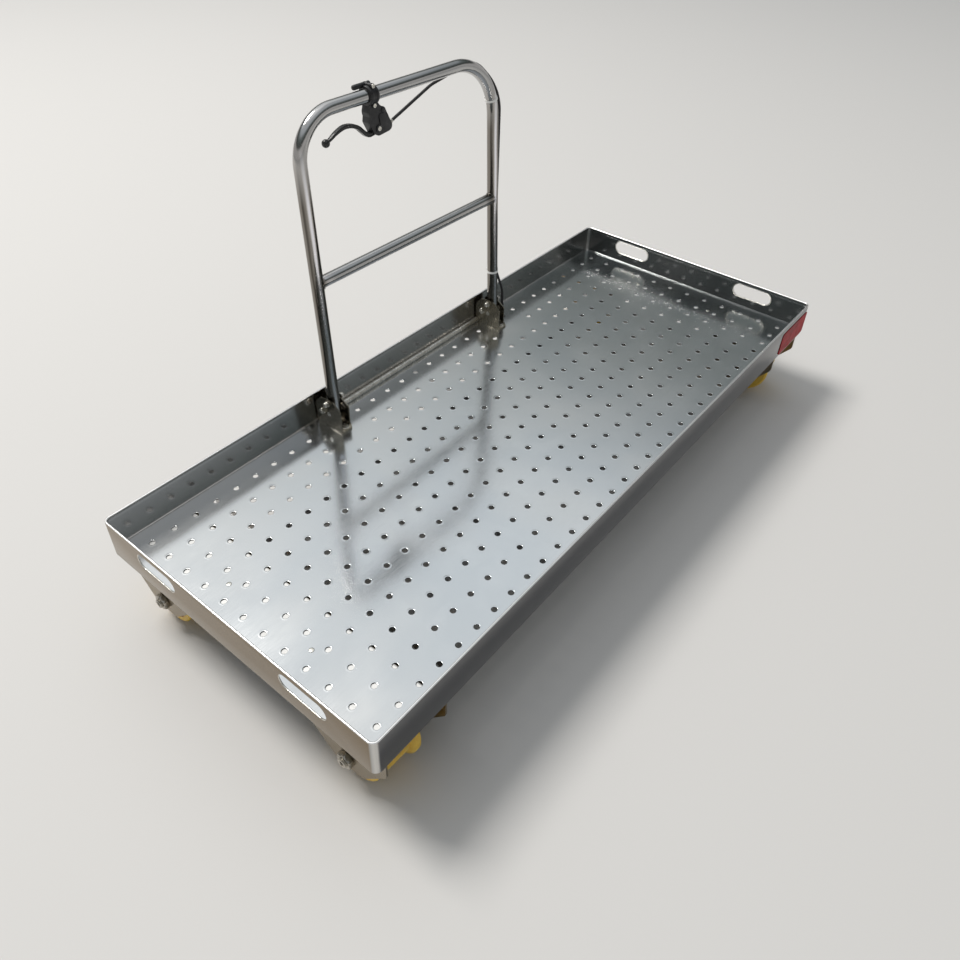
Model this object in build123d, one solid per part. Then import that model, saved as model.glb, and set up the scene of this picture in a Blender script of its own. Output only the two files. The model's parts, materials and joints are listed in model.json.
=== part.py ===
"""Rail trolley: a perforated tray on four flanged wheels, with a folding push handle.

Units are millimetres. +X runs along the tray, +Y points to the handle side, +Z is up.
The origin is the centre of the footprint, at the lowest point of the wheel flanges.
"""
import math
import os

from build123d import *

os.makedirs("parts", exist_ok=True)

# Track and wheel spacing along X
gauge = 1435.0
flange_play = 2.5
flange_w = 18.0
tread_w = 76.0
wheel_side_gap = 6.0
inner_side_gap = 37.0
end_overhang = 24.0

# Tray
tray_width = 706.0
deck_top = 173.0
deck_t = 2.0
wall_t = 2.0
wall_rise = 77.0
wall_drop = 10.0
corner_r = 14.0
seam_inset = 22.0
hem_t = 4.5
hem_h = 10.0
lip_w = 15.0

# Hole grid in the deck
hole_d = 12.0
hole_columns = 32
hole_rows = 12
hole_margin_x = 50.0
hole_margin_y = 50.5
grid_x = 7.0
grid_y = 4.5
plain_columns = (9, 10, 21, 22)
plain_rows = (10, 11)

# Hand slots in the end walls
slot_length = 112.0
slot_height = 38.0
slot_inset = 159.0
slot_rise = 46.0

# Frame under the deck
rail_w = 30.0
rail_h = 30.0
rail_wall = 2.0
rail_pitches = 3
rail_end_gap = 16.0
cross_w = 24.0
free_cross_columns = (-12, 0, 12)
lip_gap = 2.0

# Wheels and axles
flange_r = 74.0
tread_r = 61.0
tread_taper = 1.5
axle_inset = 98.0
axle_r = 10.0
sleeve_r = 20.0
sleeve_proud = 2.0
recess_in_r = 26.0
recess_out_r = 48.0
recess_depth = 12.0
running_gap = 0.05
sleeve_side_gap = 1.0
spacer_r = 15.0
axle_nut_af = 30.0
axle_nut_t = 10.0
axle_tail = 4.0
axle_centre_r = 4.5
axle_centre_depth = 10.0

# Hanger plates and the bent web that carries each end's four
hanger_t = 4.0
hanger_inset = 5.0
hanger_drop = 29.0
hanger_shoulder = 45.0
web_bend_r = 12.0

# Handle
handle_x = 2.0
leg_half = 286.0
pivot_inset = 40.0
pivot_rise = 38.0
lean_deg = 2.2
tube_r = 13.45
tube_wall = 2.0
leg_tail = 18.0
top_s = 645.0
near_bend_r = 88.0
far_bend_r = 130.0
cross_s = 317.0
crossbar_r = 13.0
crossbar_wall = 2.0
shaft_r = 9.0
shaft_bore_r = 6.05
shaft_end_gap = 1.0

# Handle brackets
cheek_t = 3.0
cheek_gap = 33.0
cheek_h = 78.0
cheek_length = 78.5
cheek_back_gap = 6.0
cheek_shoulder = 56.0
cheek_corner = 16.0
short_cheek_cut = 13.0
short_cheek_h = 49.5
base_t = 4.0
base_lip = 2.0
pivot_pin_r = 6.0
plunger_back = 2.0
plunger_rise = 66.0
plunger_r = 6.0
plunger_l = 10.0
square_nut_inset = 22.0
square_nut_rise = 40.0
square_nut_w = 14.0
square_nut_t = 6.0
floor_bolt_r = 7.5
floor_bolt_t = 6.0
floor_bolt_inset = 10.0
foot_rod_r = 6.5
foot_rod_gap = 0.1

# Brake lever, in the handle plane
clamp_x = -97.0
clamp_w = 22.0
clamp_r = 19.0
clamp_boss_s = 18.0
clamp_boss_r = 5.0
clamp_boss_reach = 12.0
clamp_tail = 34.0
body_gap = 0.2
body_t = 20.0
lever_pin_r = 7.0
lever_pin_proud = 3.0
blade_w = 12.6
blade_t = 7.2
blade_corner_r = 2.0
ball_r = 8.0

# Cable
cable_r = 3.2
cable_back = 18.4
cable_side = 17.3
cable_drop = 43.0
cable_under = 6.0
cable_ball_r = 4.8
cable_joint_gap = 0.05
tie_w = 5.0
tie_t = 1.2
tie_gap = 0.4
tie_high_deg = 16.5
tie_low_s = 118.0
grommet_hole_r = 7.0
grommet_lip = 3.0
grommet_rim = 2.0
ferrule_length = 11.0
ferrule_r = 4.2

# Marker and rivets
marker_length = 156.0
marker_height = 62.0
marker_t = 1.5
marker_inset = 88.0
marker_rise = 28.0
marker_corner_r = 6.0
rivet_inset = 88.0
rivet_y = 112.0
rivet_r = 5.0
rivet_h = 1.2

# Brake under the deck
brake_along = 37.0
brake_arm_inset = 83.0
arm_w = 24.0
arm_t = 6.0
arm_foot = 30.0
shoe_gap = 6.0
shoe_w = 60.0
shoe_h = 32.0
link_r = 5.0
link_sleeve_r = 8.0
link_sleeve_half = 40.0
link_rise = 4.0
stop_t = 11.0
stop_gap = 34.0
stop_below = 8.0

# Places that follow from the sizes above
tread_in = gauge / 2 - flange_play
flange_in = tread_in - flange_w
tread_out = tread_in + tread_w
outer_hanger_x = tread_out + wheel_side_gap
inner_hanger_x = flange_in - inner_side_gap - hanger_t
half_l = outer_hanger_x + hanger_t + end_overhang
half_w = tray_width / 2
tray_length = 2 * half_l
hole_pitch_x = (tray_length - 2 * hole_margin_x) / (hole_columns - 1)
hole_pitch_y = (tray_width - 2 * hole_margin_y) / (hole_rows - 1)
deck_under = deck_top - deck_t
wall_top = deck_top + wall_rise
wall_low = deck_top - wall_drop
lip_inner_y = half_w - wall_t - lip_w
rail_y = rail_pitches * hole_pitch_y
rail_half = inner_hanger_x - rail_end_gap
rail_low = deck_under - rail_h
web_low = deck_under - hanger_t
axle_y = half_w - axle_inset
axle_z = flange_r
pivot_z = deck_top + pivot_rise
cheek_back_y = half_w - cheek_back_gap
cheek_front_y = cheek_back_y - cheek_length
pivot_y = cheek_back_y - pivot_inset
cheek_in = cheek_gap / 2
cheek_out = cheek_in + cheek_t
cable_drop_x = handle_x + leg_half + cable_drop
cable_z = rail_low - cable_r - cable_under
brake_x = tread_in + brake_along
brake_arm_y = axle_y - brake_arm_inset
ends = (-1, 1)
sides = (-1, 1)


def bar(x0, x1, y0, y1, z0, z1):
    """A straight box between its low and high faces."""
    return Pos((x0 + x1) / 2, (y0 + y1) / 2, (z0 + z1) / 2) * Box(x1 - x0, y1 - y0, z1 - z0)


def rod_x(x0, x1, y, z, r):
    """A round rod along X."""
    return Pos((x0 + x1) / 2, y, z) * Rot(0, 90, 0) * Cylinder(r, x1 - x0)


def rod_y(y0, y1, x, z, r):
    """A round rod along Y."""
    return Pos(x, (y0 + y1) / 2, z) * Rot(90, 0, 0) * Cylinder(r, y1 - y0)


def rod_z(z0, z1, x, y, r):
    """A round rod along Z."""
    return Pos(x, y, (z0 + z1) / 2) * Cylinder(r, z1 - z0)


def hex_x(x0, x1, y, z, af):
    """A hexagonal bolt head or nut along X, given its size across the flats."""
    return Pos(x0, y, z) * (Plane.YZ * extrude(RegularPolygon(af / math.sqrt(3), 6), x1 - x0))


def plate_x(points, x0, thickness):
    """A plate parallel to the YZ plane, from its outline in y and z."""
    return Pos(x0, 0, 0) * extrude(Plane.YZ * make_face(Polyline(*points, close=True)), thickness)


def rounded_ring(length, width, radius, band, z0, z1):
    """A rounded rectangular band standing on end, band wide."""
    outer = RectangleRounded(length, width, radius)
    inner = RectangleRounded(length - 2 * band, width - 2 * band, max(radius - band, 1.0))
    return Pos(0, 0, z0) * extrude(outer - inner, z1 - z0)


def save(name, solids):
    """Write one node of the trolley."""
    shape = solids if not isinstance(solids, list) else Compound(children=solids)
    export_step(shape, f"parts/{name}.step")


# Deck sheet
sheet = RectangleRounded(tray_length - 2 * wall_t, tray_width - 2 * wall_t, corner_r - wall_t)
hole_xs = [(i - (hole_columns - 1) / 2) * hole_pitch_x + grid_x for i in range(hole_columns)]
hole_ys = [(j - (hole_rows - 1) / 2) * hole_pitch_y + grid_y for j in range(hole_rows)]
holes = []
for i, x in enumerate(hole_xs):
    for j, y in enumerate(hole_ys):
        if i in plain_columns and j in plain_rows:
            continue
        holes.append(Wire(Edge.make_circle(hole_d / 2, Plane((x, y, 0)))))
holes.append(Wire(Edge.make_circle(grommet_hole_r, Plane((cable_drop_x, pivot_y, 0)))))
deck_face = Face(sheet.faces()[0].outer_wire(), holes)
deck = Pos(0, 0, deck_under) * extrude(deck_face, deck_t, dir=(0, 0, 1))
save("deck_plate", deck)

# Walls, cut from one rounded band
band = rounded_ring(tray_length, tray_width, corner_r, wall_t, wall_low, wall_top)
band += rounded_ring(tray_length, tray_width, corner_r, hem_t, wall_top - hem_h, wall_top)
band += rounded_ring(tray_length, tray_width, corner_r, wall_t + lip_w, wall_low, wall_low + wall_t)
seam_x = half_l - seam_inset
side_zone = {
    "wall_front": bar(-seam_x, seam_x, -half_w - 1, 0, 0, wall_top + 1),
    "wall_rear": bar(-seam_x, seam_x, 0, half_w + 1, 0, wall_top + 1),
}
for name, zone in side_zone.items():
    save(name, band & zone)
slot = Rot(0, 90, 0) * extrude(SlotOverall(slot_length, slot_height, rotation=90), wall_t * 4, both=True)
for name, end in (("wall_near", -1), ("wall_far", 1)):
    zone = bar(*sorted((end * seam_x, end * (half_l + 1))), -half_w - 1, half_w + 1, 0, wall_top + 1)
    wall = band & zone
    for side in sides:
        wall -= Pos(end * half_l, side * (half_w - slot_inset), deck_top + slot_rise) * slot
    save(name, wall)

# Rails and cross members
rails = []
for side in sides:
    y = grid_y + side * rail_y
    tube = bar(-rail_half, rail_half, y - rail_w / 2, y + rail_w / 2, rail_low, deck_under)
    hollow_y = (y - rail_w / 2 + rail_wall, y + rail_w / 2 - rail_wall)
    tube -= bar(-rail_half - 1, rail_half + 1, *hollow_y, rail_low + rail_wall, deck_under - rail_wall)
    rails.append(tube)
save("rails", rails)
cross_spans = (
    (lip_gap - lip_inner_y, grid_y - rail_y - rail_w / 2),
    (grid_y - rail_y + rail_w / 2, grid_y + rail_y - rail_w / 2),
    (grid_y + rail_y + rail_w / 2, lip_inner_y - lip_gap),
)
bracket_columns = [round((handle_x + side * leg_half - grid_x) / hole_pitch_x) for side in sides]
cross_members = []
for column in (*free_cross_columns, *bracket_columns):
    x = grid_x + column * hole_pitch_x
    for y0, y1 in cross_spans:
        piece = bar(x - cross_w / 2, x + cross_w / 2, y0, y1, rail_low, deck_under)
        channel = cross_w / 2 - rail_wall
        piece -= bar(x - channel, x + channel, y0 - 1, y1 + 1, rail_low - 1, deck_under - rail_wall)
        cross_members.append(piece)
save("cross_members", cross_members)

# End webs: a flat under the deck, bent down along its inner edge
bend_x = inner_hanger_x + web_bend_r
bend_z = deck_under - web_bend_r
web_y = lip_inner_y - 1.0
webs = []
for end in ends:
    web = bar(*sorted((end * bend_x, end * (outer_hanger_x + hanger_t))), -web_y, web_y, web_low, deck_under)
    bend = rod_y(-web_y, web_y, end * bend_x, bend_z, web_bend_r)
    bend -= rod_y(-web_y - 1, web_y + 1, end * bend_x, bend_z, web_bend_r - hanger_t)
    bend &= bar(*sorted((end * inner_hanger_x, end * bend_x)), -web_y, web_y, bend_z, deck_under)
    webs.append(web + bend)
save("end_webs", webs)

# Hanger plates, one pair at each wheel
outer_plates = []
inner_plates = []
plate_kinds = (
    (outer_hanger_x, web_low, outer_plates),
    (inner_hanger_x, bend_z, inner_plates),
)
for plate_x0, plate_top, plates in plate_kinds:
    outline = (
        (axle_y - 105.0, plate_top),
        (web_y, plate_top),
        (web_y, wall_low - 1.0),
        (half_w - hanger_inset, wall_low - 1.0),
        (half_w - hanger_inset, axle_z + hanger_shoulder),
        (axle_y + 33.0, axle_z - hanger_drop),
        (axle_y - 29.0, axle_z - hanger_drop),
        (axle_y - 75.0, axle_z + 15.0),
        (axle_y - 105.0, axle_z + 44.0),
    )
    if plate_top < wall_low:
        outline = ((axle_y - 105.0, plate_top), (half_w - hanger_inset, plate_top)) + outline[4:]
    for end in ends:
        x0 = min(end * plate_x0, end * (plate_x0 + hanger_t))
        for side in sides:
            plate = plate_x([(side * y, z) for y, z in outline], x0, hanger_t)
            plate -= rod_x(x0 - 1, x0 + hanger_t + 1, side * axle_y, axle_z, axle_r)
            plates.append(plate)
save("hangers_outer", outer_plates)
save("hangers_inner", inner_plates)

# Axles, with a head inside, a nut outside and two spacers
axles = []
for end in ends:
    for side in sides:
        y = side * axle_y
        head = inner_hanger_x - axle_nut_t
        nut_end = outer_hanger_x + hanger_t + axle_nut_t
        spacer_in = (inner_hanger_x + hanger_t, flange_in - sleeve_proud - sleeve_side_gap)
        spacer_out = (tread_out + sleeve_proud + sleeve_side_gap, outer_hanger_x)
        axle = rod_x(head, nut_end + axle_tail, y, axle_z, axle_r)
        axle += hex_x(head, inner_hanger_x, y, axle_z, axle_nut_af)
        axle += hex_x(outer_hanger_x + hanger_t, nut_end, y, axle_z, axle_nut_af)
        axle += rod_x(*spacer_in, y, axle_z, spacer_r)
        axle += rod_x(*spacer_out, y, axle_z, spacer_r)
        tip = nut_end + axle_tail
        axle -= rod_x(tip - axle_centre_depth, tip + 1.0, y, axle_z, axle_centre_r)
        axles.append(axle if end > 0 else Rot(0, 0, 180) * Pos(0, -2 * y, 0) * axle)
save("axles", axles)

# Wheels, each a turned profile of distance from the axis against distance along X
wheel_profile = (
    (flange_in, sleeve_r),
    (flange_in, recess_in_r),
    (flange_in + recess_depth, recess_in_r + 3.0),
    (flange_in + recess_depth, recess_out_r - 3.0),
    (flange_in, recess_out_r),
    (flange_in, flange_r - 4.0),
    (flange_in + 4.0, flange_r),
    (tread_in - 5.0, flange_r),
    (tread_in, flange_r - 6.0),
    (tread_in + 3.0, tread_r + tread_taper),
    (tread_out - 3.0, tread_r),
    (tread_out, tread_r - 3.0),
    (tread_out, recess_out_r),
    (tread_out - recess_depth, recess_out_r - 3.0),
    (tread_out - recess_depth, recess_in_r + 3.0),
    (tread_out, recess_in_r),
    (tread_out, sleeve_r),
)
wheel_places = (
    ("near_front", -1, -1),
    ("near_rear", -1, 1),
    ("far_front", 1, -1),
    ("far_rear", 1, 1),
)
for name, end, side in wheel_places:
    profile = make_face(Polyline(*[(end * x, r, 0) for x, r in wheel_profile], close=True))
    wheel = Pos(0, side * axle_y, axle_z) * revolve(profile, Axis.X)
    sleeve_x = sorted((end * (flange_in - sleeve_proud), end * (tread_out + sleeve_proud)))
    sleeve = rod_x(*sleeve_x, side * axle_y, axle_z, sleeve_r)
    sleeve -= rod_x(sleeve_x[0] - 1, sleeve_x[1] + 1, side * axle_y, axle_z, axle_r + running_gap)
    save(f"wheel_{name}", wheel)
    save(f"sleeve_{name}", sleeve)

# Handle brackets: the cheek on the far side of each leg is shorter in front
cheek_back = (
    (cheek_back_y, deck_top + base_t),
    (cheek_back_y, deck_top + cheek_shoulder),
    (cheek_back_y - cheek_corner, deck_top + cheek_h - 4.0),
)
long_outline = (
    (cheek_front_y, deck_top + base_t),
    *cheek_back,
    (cheek_back_y - 43.0, deck_top + cheek_h),
    (cheek_front_y + cheek_corner + 3.0, deck_top + cheek_h - 2.0),
    (cheek_front_y, deck_top + cheek_shoulder + 2.0),
)
short_front_y = cheek_front_y + short_cheek_cut
short_outline = (
    (short_front_y, deck_top + base_t),
    *cheek_back,
    (cheek_back_y - 25.0, deck_top + cheek_h - 2.0),
    (short_front_y, deck_top + short_cheek_h),
)
leg_xs = [handle_x + side * leg_half for side in sides]
bases = []
cheeks = []
hardware = []
for side, leg_x in zip(sides, leg_xs):
    base_outline = (
        (leg_x - cheek_out, cheek_front_y - base_lip),
        (leg_x + cheek_out / 2, cheek_front_y - base_lip),
        (leg_x + cheek_out, short_front_y - base_lip),
        (leg_x + cheek_out, cheek_back_y),
        (leg_x - cheek_out, cheek_back_y),
    )
    bases.append(Pos(0, 0, deck_top) * extrude(make_face(Polyline(*base_outline, close=True)), base_t))
    for lean, outline in zip(sides, (long_outline, short_outline)):
        x0 = leg_x + lean * cheek_in - (cheek_t if lean < 0 else 0.0)
        cheek = plate_x(outline, x0, cheek_t)
        cheek -= rod_x(x0 - 1, x0 + cheek_t + 1, pivot_y, pivot_z, pivot_pin_r)
        cheeks.append(cheek)
    hardware.append(rod_x(leg_x - cheek_out, leg_x + cheek_out, pivot_y, pivot_z, pivot_pin_r))
    for skin in sides:
        skin_x = leg_x + skin * cheek_out
        nut_place = Pos(
            skin_x + skin * square_nut_t / 2, cheek_back_y - square_nut_inset, deck_top + square_nut_rise
        )
        hardware.append(nut_place * Rot(45, 0, 0) * Box(square_nut_t, square_nut_w, square_nut_w))
        pin_x = sorted((skin_x, skin_x + skin * plunger_l))
        hardware.append(rod_x(*pin_x, pivot_y + plunger_back, deck_top + plunger_rise, plunger_r))
    floor_place = Pos(leg_x, cheek_front_y + floor_bolt_inset, deck_top + base_t)
    hardware.append(floor_place * extrude(RegularPolygon(floor_bolt_r, 6), floor_bolt_t))
save("bracket_bases", bases)
save("bracket_cheeks", cheeks)
save("bracket_bolts", hardware)

# Rod along the foot of the rear wall, from bracket to bracket
rod_ends = (leg_xs[0] + cheek_out, leg_xs[1] - cheek_out)
rod_reach = foot_rod_r + foot_rod_gap
foot_rod = rod_x(*rod_ends, half_w - wall_t - rod_reach, deck_top + rod_reach, foot_rod_r)
save("foot_rod", foot_rod)

# Handle, drawn upright in its own plane: x across, z up the plane, y toward the back
handle_frame = Location((handle_x, pivot_y, pivot_z), (-lean_deg, 0, 0))
legs_path = FilletPolyline(
    (-leg_half, 0, -leg_tail),
    (-leg_half, 0, top_s),
    (leg_half, 0, top_s),
    (leg_half, 0, -leg_tail),
    radius=[near_bend_r, far_bend_r],
)
tube_start = Plane(origin=(-leg_half, 0, -leg_tail), z_dir=(0, 0, 1))
tube_solid = sweep(tube_start * Circle(tube_r), path=legs_path)
tube_hollow = sweep(tube_start * Circle(tube_r - tube_wall), path=legs_path)
shaft_zone = rod_x(-leg_half - 40, leg_half + 40, 0, 0, shaft_r)
shaft_half = cheek_in - shaft_end_gap
save("handle_tube", handle_frame * (tube_solid - tube_hollow - shaft_zone))
crossbar = rod_x(-leg_half, leg_half, 0, cross_s, crossbar_r)
crossbar -= rod_x(-leg_half - 1, leg_half + 1, 0, cross_s, crossbar_r - crossbar_wall)
crossbar -= tube_solid
save("crossbar", handle_frame * crossbar)
shafts = []
for side in sides:
    x0 = side * leg_half - shaft_half
    x1 = side * leg_half + shaft_half
    shaft = rod_x(x0, x1, 0, 0, shaft_r) - rod_x(x0 - 1, x1 + 1, 0, 0, shaft_bore_r)
    shafts.append(handle_frame * shaft)
save("hinge_shaft", shafts)

# Brake lever clamp: a ring with a screw boss above and below it, and a round boss on top
clamp_x0 = clamp_x - clamp_w / 2
clamp_x1 = clamp_x + clamp_w / 2
clamp = rod_x(clamp_x0, clamp_x1, 0, top_s, clamp_r)
for rise in (-clamp_boss_s, clamp_boss_s):
    clamp += rod_y(-clamp_boss_reach, clamp_boss_reach, clamp_x, top_s + rise, clamp_boss_r)
clamp += rod_x(clamp_x - clamp_tail, clamp_x1, 9.0, top_s + 18.0, clamp_boss_r)
clamp -= rod_x(clamp_x - clamp_tail - 1, clamp_x1 + 1, 0, top_s, tube_r)
save("lever_clamp", handle_frame * clamp)

# Lever body, a block with an outline in x and z, from offsets to the clamp's axis
body_offsets = (
    (-10.0, -17.0),
    (10.0, -17.0),
    (16.0, -23.0),
    (28.0, -28.0),
    (33.0, -38.0),
    (47.0, -68.0),
    (41.0, -74.0),
    (7.0, -78.0),
    (-3.0, -71.0),
    (-14.0, -49.0),
    (-15.0, -33.0),
)
body_outline = [(clamp_x + x, top_s + z) for x, z in body_offsets]
body_face = make_face(Polyline(*[(x, 0, z) for x, z in body_outline], close=True))
body = extrude(body_face, body_t / 2, dir=(0, 1, 0), both=True)
body -= rod_x(clamp_x0 - 30, clamp_x1 + 30, 0, top_s, clamp_r)
body -= rod_y(-body_t, body_t, clamp_x, top_s - clamp_boss_s, clamp_boss_r + body_gap)
pin_half = body_t / 2 + lever_pin_proud
body += rod_y(-pin_half, pin_half, clamp_x + 9.0, top_s - 64.0, lever_pin_r)
save("lever_body", handle_frame * body)

# Lever blade with its ball end
blade_offsets = ((5.0, -72.0), (-16.0, -72.5), (-40.0, -50.5), (-75.0, -42.0), (-118.0, -60.0))
blade_path = FilletPolyline(
    *[(clamp_x + x, 0, top_s + z) for x, z in blade_offsets],
    radius=[14.0, 30.0, 40.0],
)
blade_start = Plane(origin=blade_path @ 0, z_dir=blade_path % 0, x_dir=(0, 1, 0))
blade = sweep(blade_start * RectangleRounded(blade_w, blade_t, blade_corner_r), path=blade_path)
blade += Pos(clamp_x - 122.0, 0, top_s - 61.0) * Sphere(ball_r)
blade -= body
save("lever_blade", handle_frame * blade)

# Ferrule and upper cable, which ends in a ball on the hinge axis
side_x = leg_half + cable_side
drop_x = leg_half + cable_drop
ferrule_base = Vector(clamp_x + 47.0, 0.0, top_s - 65.0)
first_turn = Vector(clamp_x + 197.0, cable_back, top_s - 27.0)
ferrule_plane = Plane(origin=ferrule_base, z_dir=first_turn - ferrule_base)
ferrule = ferrule_plane * extrude(Circle(ferrule_r), ferrule_length) - body
save("ferrule", handle_frame * ferrule)
upper_points = (
    ferrule_plane.from_local_coords(Vector(0, 0, ferrule_length)),
    first_turn,
    (leg_half - 42.0, cable_back, top_s - 4.0),
    (side_x, -8.0, top_s - 76.0),
    (side_x, 1.0, cross_s - 17.0),
    (side_x, 1.0, 112.0),
    (drop_x, 0.0, 45.0),
    (drop_x, 0.0, 0.0),
)
upper_path = FilletPolyline(*upper_points, radius=[90.0, 55.0, 130.0, 400.0, 70.0, 50.0])
upper_start = Plane(origin=upper_path @ 0, z_dir=upper_path % 0)
upper_cable = sweep(upper_start * Circle(cable_r), path=upper_path)
upper_cable += Pos(drop_x, 0, 0) * Sphere(cable_ball_r)
save("cable_upper", handle_frame * upper_cable)


def route_point(path, plane):
    """The point where the falling half of a cable's path crosses a plane."""
    low, high = 0.5, 1.0
    for _ in range(40):
        middle = (low + high) / 2
        if (path @ middle - plane.origin).dot(plane.z_dir) > 0:
            low = middle
        else:
            high = middle
    return plane.to_local_coords(path @ low)


# Cable ties round the far leg and the cable, one in the bend and one low down
bend_turn = math.radians(tie_high_deg)
bend_centre = Vector(leg_half - far_bend_r, 0, top_s - far_bend_r)
outward = Vector(math.cos(bend_turn), 0, math.sin(bend_turn))
tie_planes = (
    Plane(origin=bend_centre + outward * far_bend_r, x_dir=outward, z_dir=outward.cross(Vector(0, 1, 0))),
    Plane(origin=(leg_half, 0, tie_low_s), x_dir=(1, 0, 0), z_dir=(0, 0, 1)),
)
ties = []
for plane in tie_planes:
    centre = route_point(upper_path, plane)
    loops = []
    for extra in (tie_t, 0.0):
        tube_loop = Circle(tube_r + extra)
        cable_loop = Pos(centre.X, centre.Y) * Circle(cable_r + tie_gap + extra)
        loops.append(make_hull(tube_loop.edges() + cable_loop.edges()))
    tie = plane * extrude(loops[0] - loops[1], tie_w / 2, both=True)
    ties.append(handle_frame * (tie - tube_solid))
save("cable_ties", ties)

# Lower cable, through the deck and across to the brake
stop_y = brake_arm_y - stop_gap
cable_turn_y = stop_y - 38.0
lower_points = (
    (cable_drop_x, pivot_y, pivot_z),
    (cable_drop_x, pivot_y, cable_z),
    (cable_drop_x, cable_turn_y, cable_z),
    (brake_x, cable_turn_y, cable_z),
    (brake_x, stop_y, cable_z),
)
lower_path = FilletPolyline(*lower_points, radius=[34.0, 60.0, 25.0])
lower_start = Plane(origin=lower_path @ 0, z_dir=lower_path % 0)
lower_cable = sweep(lower_start * Circle(cable_r), path=lower_path)
lower_cable -= Pos(cable_drop_x, pivot_y, pivot_z) * Sphere(cable_ball_r + cable_joint_gap)
save("cable_lower", lower_cable)

# Grommet in the deck
rim_low = deck_under - grommet_rim
rim_high = deck_top + grommet_rim
grommet = rod_z(rim_low, rim_high, cable_drop_x, pivot_y, grommet_hole_r)
grommet += rod_z(deck_top, rim_high, cable_drop_x, pivot_y, grommet_hole_r + grommet_lip)
grommet += rod_z(rim_low, deck_under, cable_drop_x, pivot_y, grommet_hole_r + grommet_lip)
grommet -= rod_z(rim_low - 1, rim_high + 1, cable_drop_x, pivot_y, cable_r)
save("grommet", grommet)

# Marker on the front wall
marker_shape = Plane.XZ * RectangleRounded(marker_length, marker_height, marker_corner_r)
marker_place = Pos(half_l - marker_inset, -half_w, deck_top + marker_rise)
save("marker", marker_place * extrude(marker_shape, marker_t))

# Brake at the far wheels: arms on feet, shoes and a link rod
arm_x = (brake_x - arm_w / 2, brake_x + arm_w / 2)
shoe_x = (brake_x - shoe_w / 2, brake_x + shoe_w / 2)
shoe_face = axle_y - tread_r - tread_taper - shoe_gap
arms = []
shoes = []
for side in sides:
    arm_y = sorted((side * (brake_arm_y - arm_t / 2), side * (brake_arm_y + arm_t / 2)))
    foot_y = sorted((side * brake_arm_y, side * (brake_arm_y - arm_foot)))
    arm = bar(*arm_x, *arm_y, axle_z - arm_w / 2, web_low)
    arm += bar(*arm_x, *foot_y, web_low - arm_t, web_low)
    arms.append(arm)
    shoe_y = sorted((side * (brake_arm_y + arm_t / 2), side * shoe_face))
    shoes.append(bar(*shoe_x, *shoe_y, axle_z - shoe_h / 2, axle_z + shoe_h / 2))
save("brake_arms", arms)
save("brake_shoes", shoes)
link_end = brake_arm_y - arm_t / 2
link = rod_y(-link_end, link_end, brake_x, axle_z + link_rise, link_r)
link += rod_y(-link_sleeve_half, link_sleeve_half, brake_x, axle_z + link_rise, link_sleeve_r)
save("brake_link", link)
stop = bar(*arm_x, stop_y - stop_t, stop_y, cable_z - stop_below, web_low)
stop -= rod_y(stop_y - stop_t - 1, stop_y + 1, brake_x, cable_z, cable_r)
save("cable_stop", stop)

# Rivets in the deck
rivets = []
for end in ends:
    for side in sides:
        rivet_x = end * (half_l - rivet_inset)
        rivets.append(rod_z(deck_top, deck_top + rivet_h, rivet_x, side * rivet_y, rivet_r))
save("deck_rivets", rivets)
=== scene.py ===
import json
import math

import bmesh
import bpy
from mathutils import Matrix, Vector


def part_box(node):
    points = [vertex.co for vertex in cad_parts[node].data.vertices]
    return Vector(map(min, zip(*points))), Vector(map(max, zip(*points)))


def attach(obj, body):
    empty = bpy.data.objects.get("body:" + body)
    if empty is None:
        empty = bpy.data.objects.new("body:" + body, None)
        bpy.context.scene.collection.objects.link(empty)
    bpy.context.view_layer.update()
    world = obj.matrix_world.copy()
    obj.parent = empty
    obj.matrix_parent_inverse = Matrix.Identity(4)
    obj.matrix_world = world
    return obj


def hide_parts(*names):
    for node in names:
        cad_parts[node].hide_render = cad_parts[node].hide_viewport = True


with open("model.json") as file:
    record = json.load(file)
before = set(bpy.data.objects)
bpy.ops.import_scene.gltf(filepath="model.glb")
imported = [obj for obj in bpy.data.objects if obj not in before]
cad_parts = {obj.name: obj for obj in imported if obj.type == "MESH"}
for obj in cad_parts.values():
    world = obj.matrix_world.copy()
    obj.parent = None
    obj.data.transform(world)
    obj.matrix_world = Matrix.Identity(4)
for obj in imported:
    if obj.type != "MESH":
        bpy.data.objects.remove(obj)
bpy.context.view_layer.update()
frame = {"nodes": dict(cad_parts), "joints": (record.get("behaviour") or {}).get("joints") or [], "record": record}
scene = bpy.context.scene
scene.view_settings.view_transform = "Standard"
record = frame["record"]
joints = {joint["name"]: joint for joint in frame["joints"]}

# Sizes in metres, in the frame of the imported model: +X along the tray, +Y to the handle, +Z up
MM = 0.001
X_AXIS, Y_AXIS, Z_AXIS = Vector((1, 0, 0)), Vector((0, 1, 0)), Vector((0, 0, 1))
DECK_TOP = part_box("deck_plate")[1].z
TRAY_X, TRAY_Y, WALL_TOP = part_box("wall_far")[1]
WALL_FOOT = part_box("wall_near")[0].z
WALL_T = 2 * MM
CORNER_R = 14 * MM
SEAM_X = TRAY_X - 22 * MM  # where the end walls meet the front and rear walls
SLOT_Y, SLOT_Z = 194 * MM, 219 * MM
SLOT_HALF, SLOT_R = 37 * MM, 19 * MM  # half the distance between a slot's round ends, and their radius
RIVET_X, RIVET_Y = 737 * MM, 112 * MM
GROMMET_X = 331 * MM
MARKER_X, MARKER_Z = (659 * MM, 815 * MM), (170 * MM, 232 * MM)
MARKER_T, MARKER_R = 1.5 * MM, 6 * MM

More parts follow.
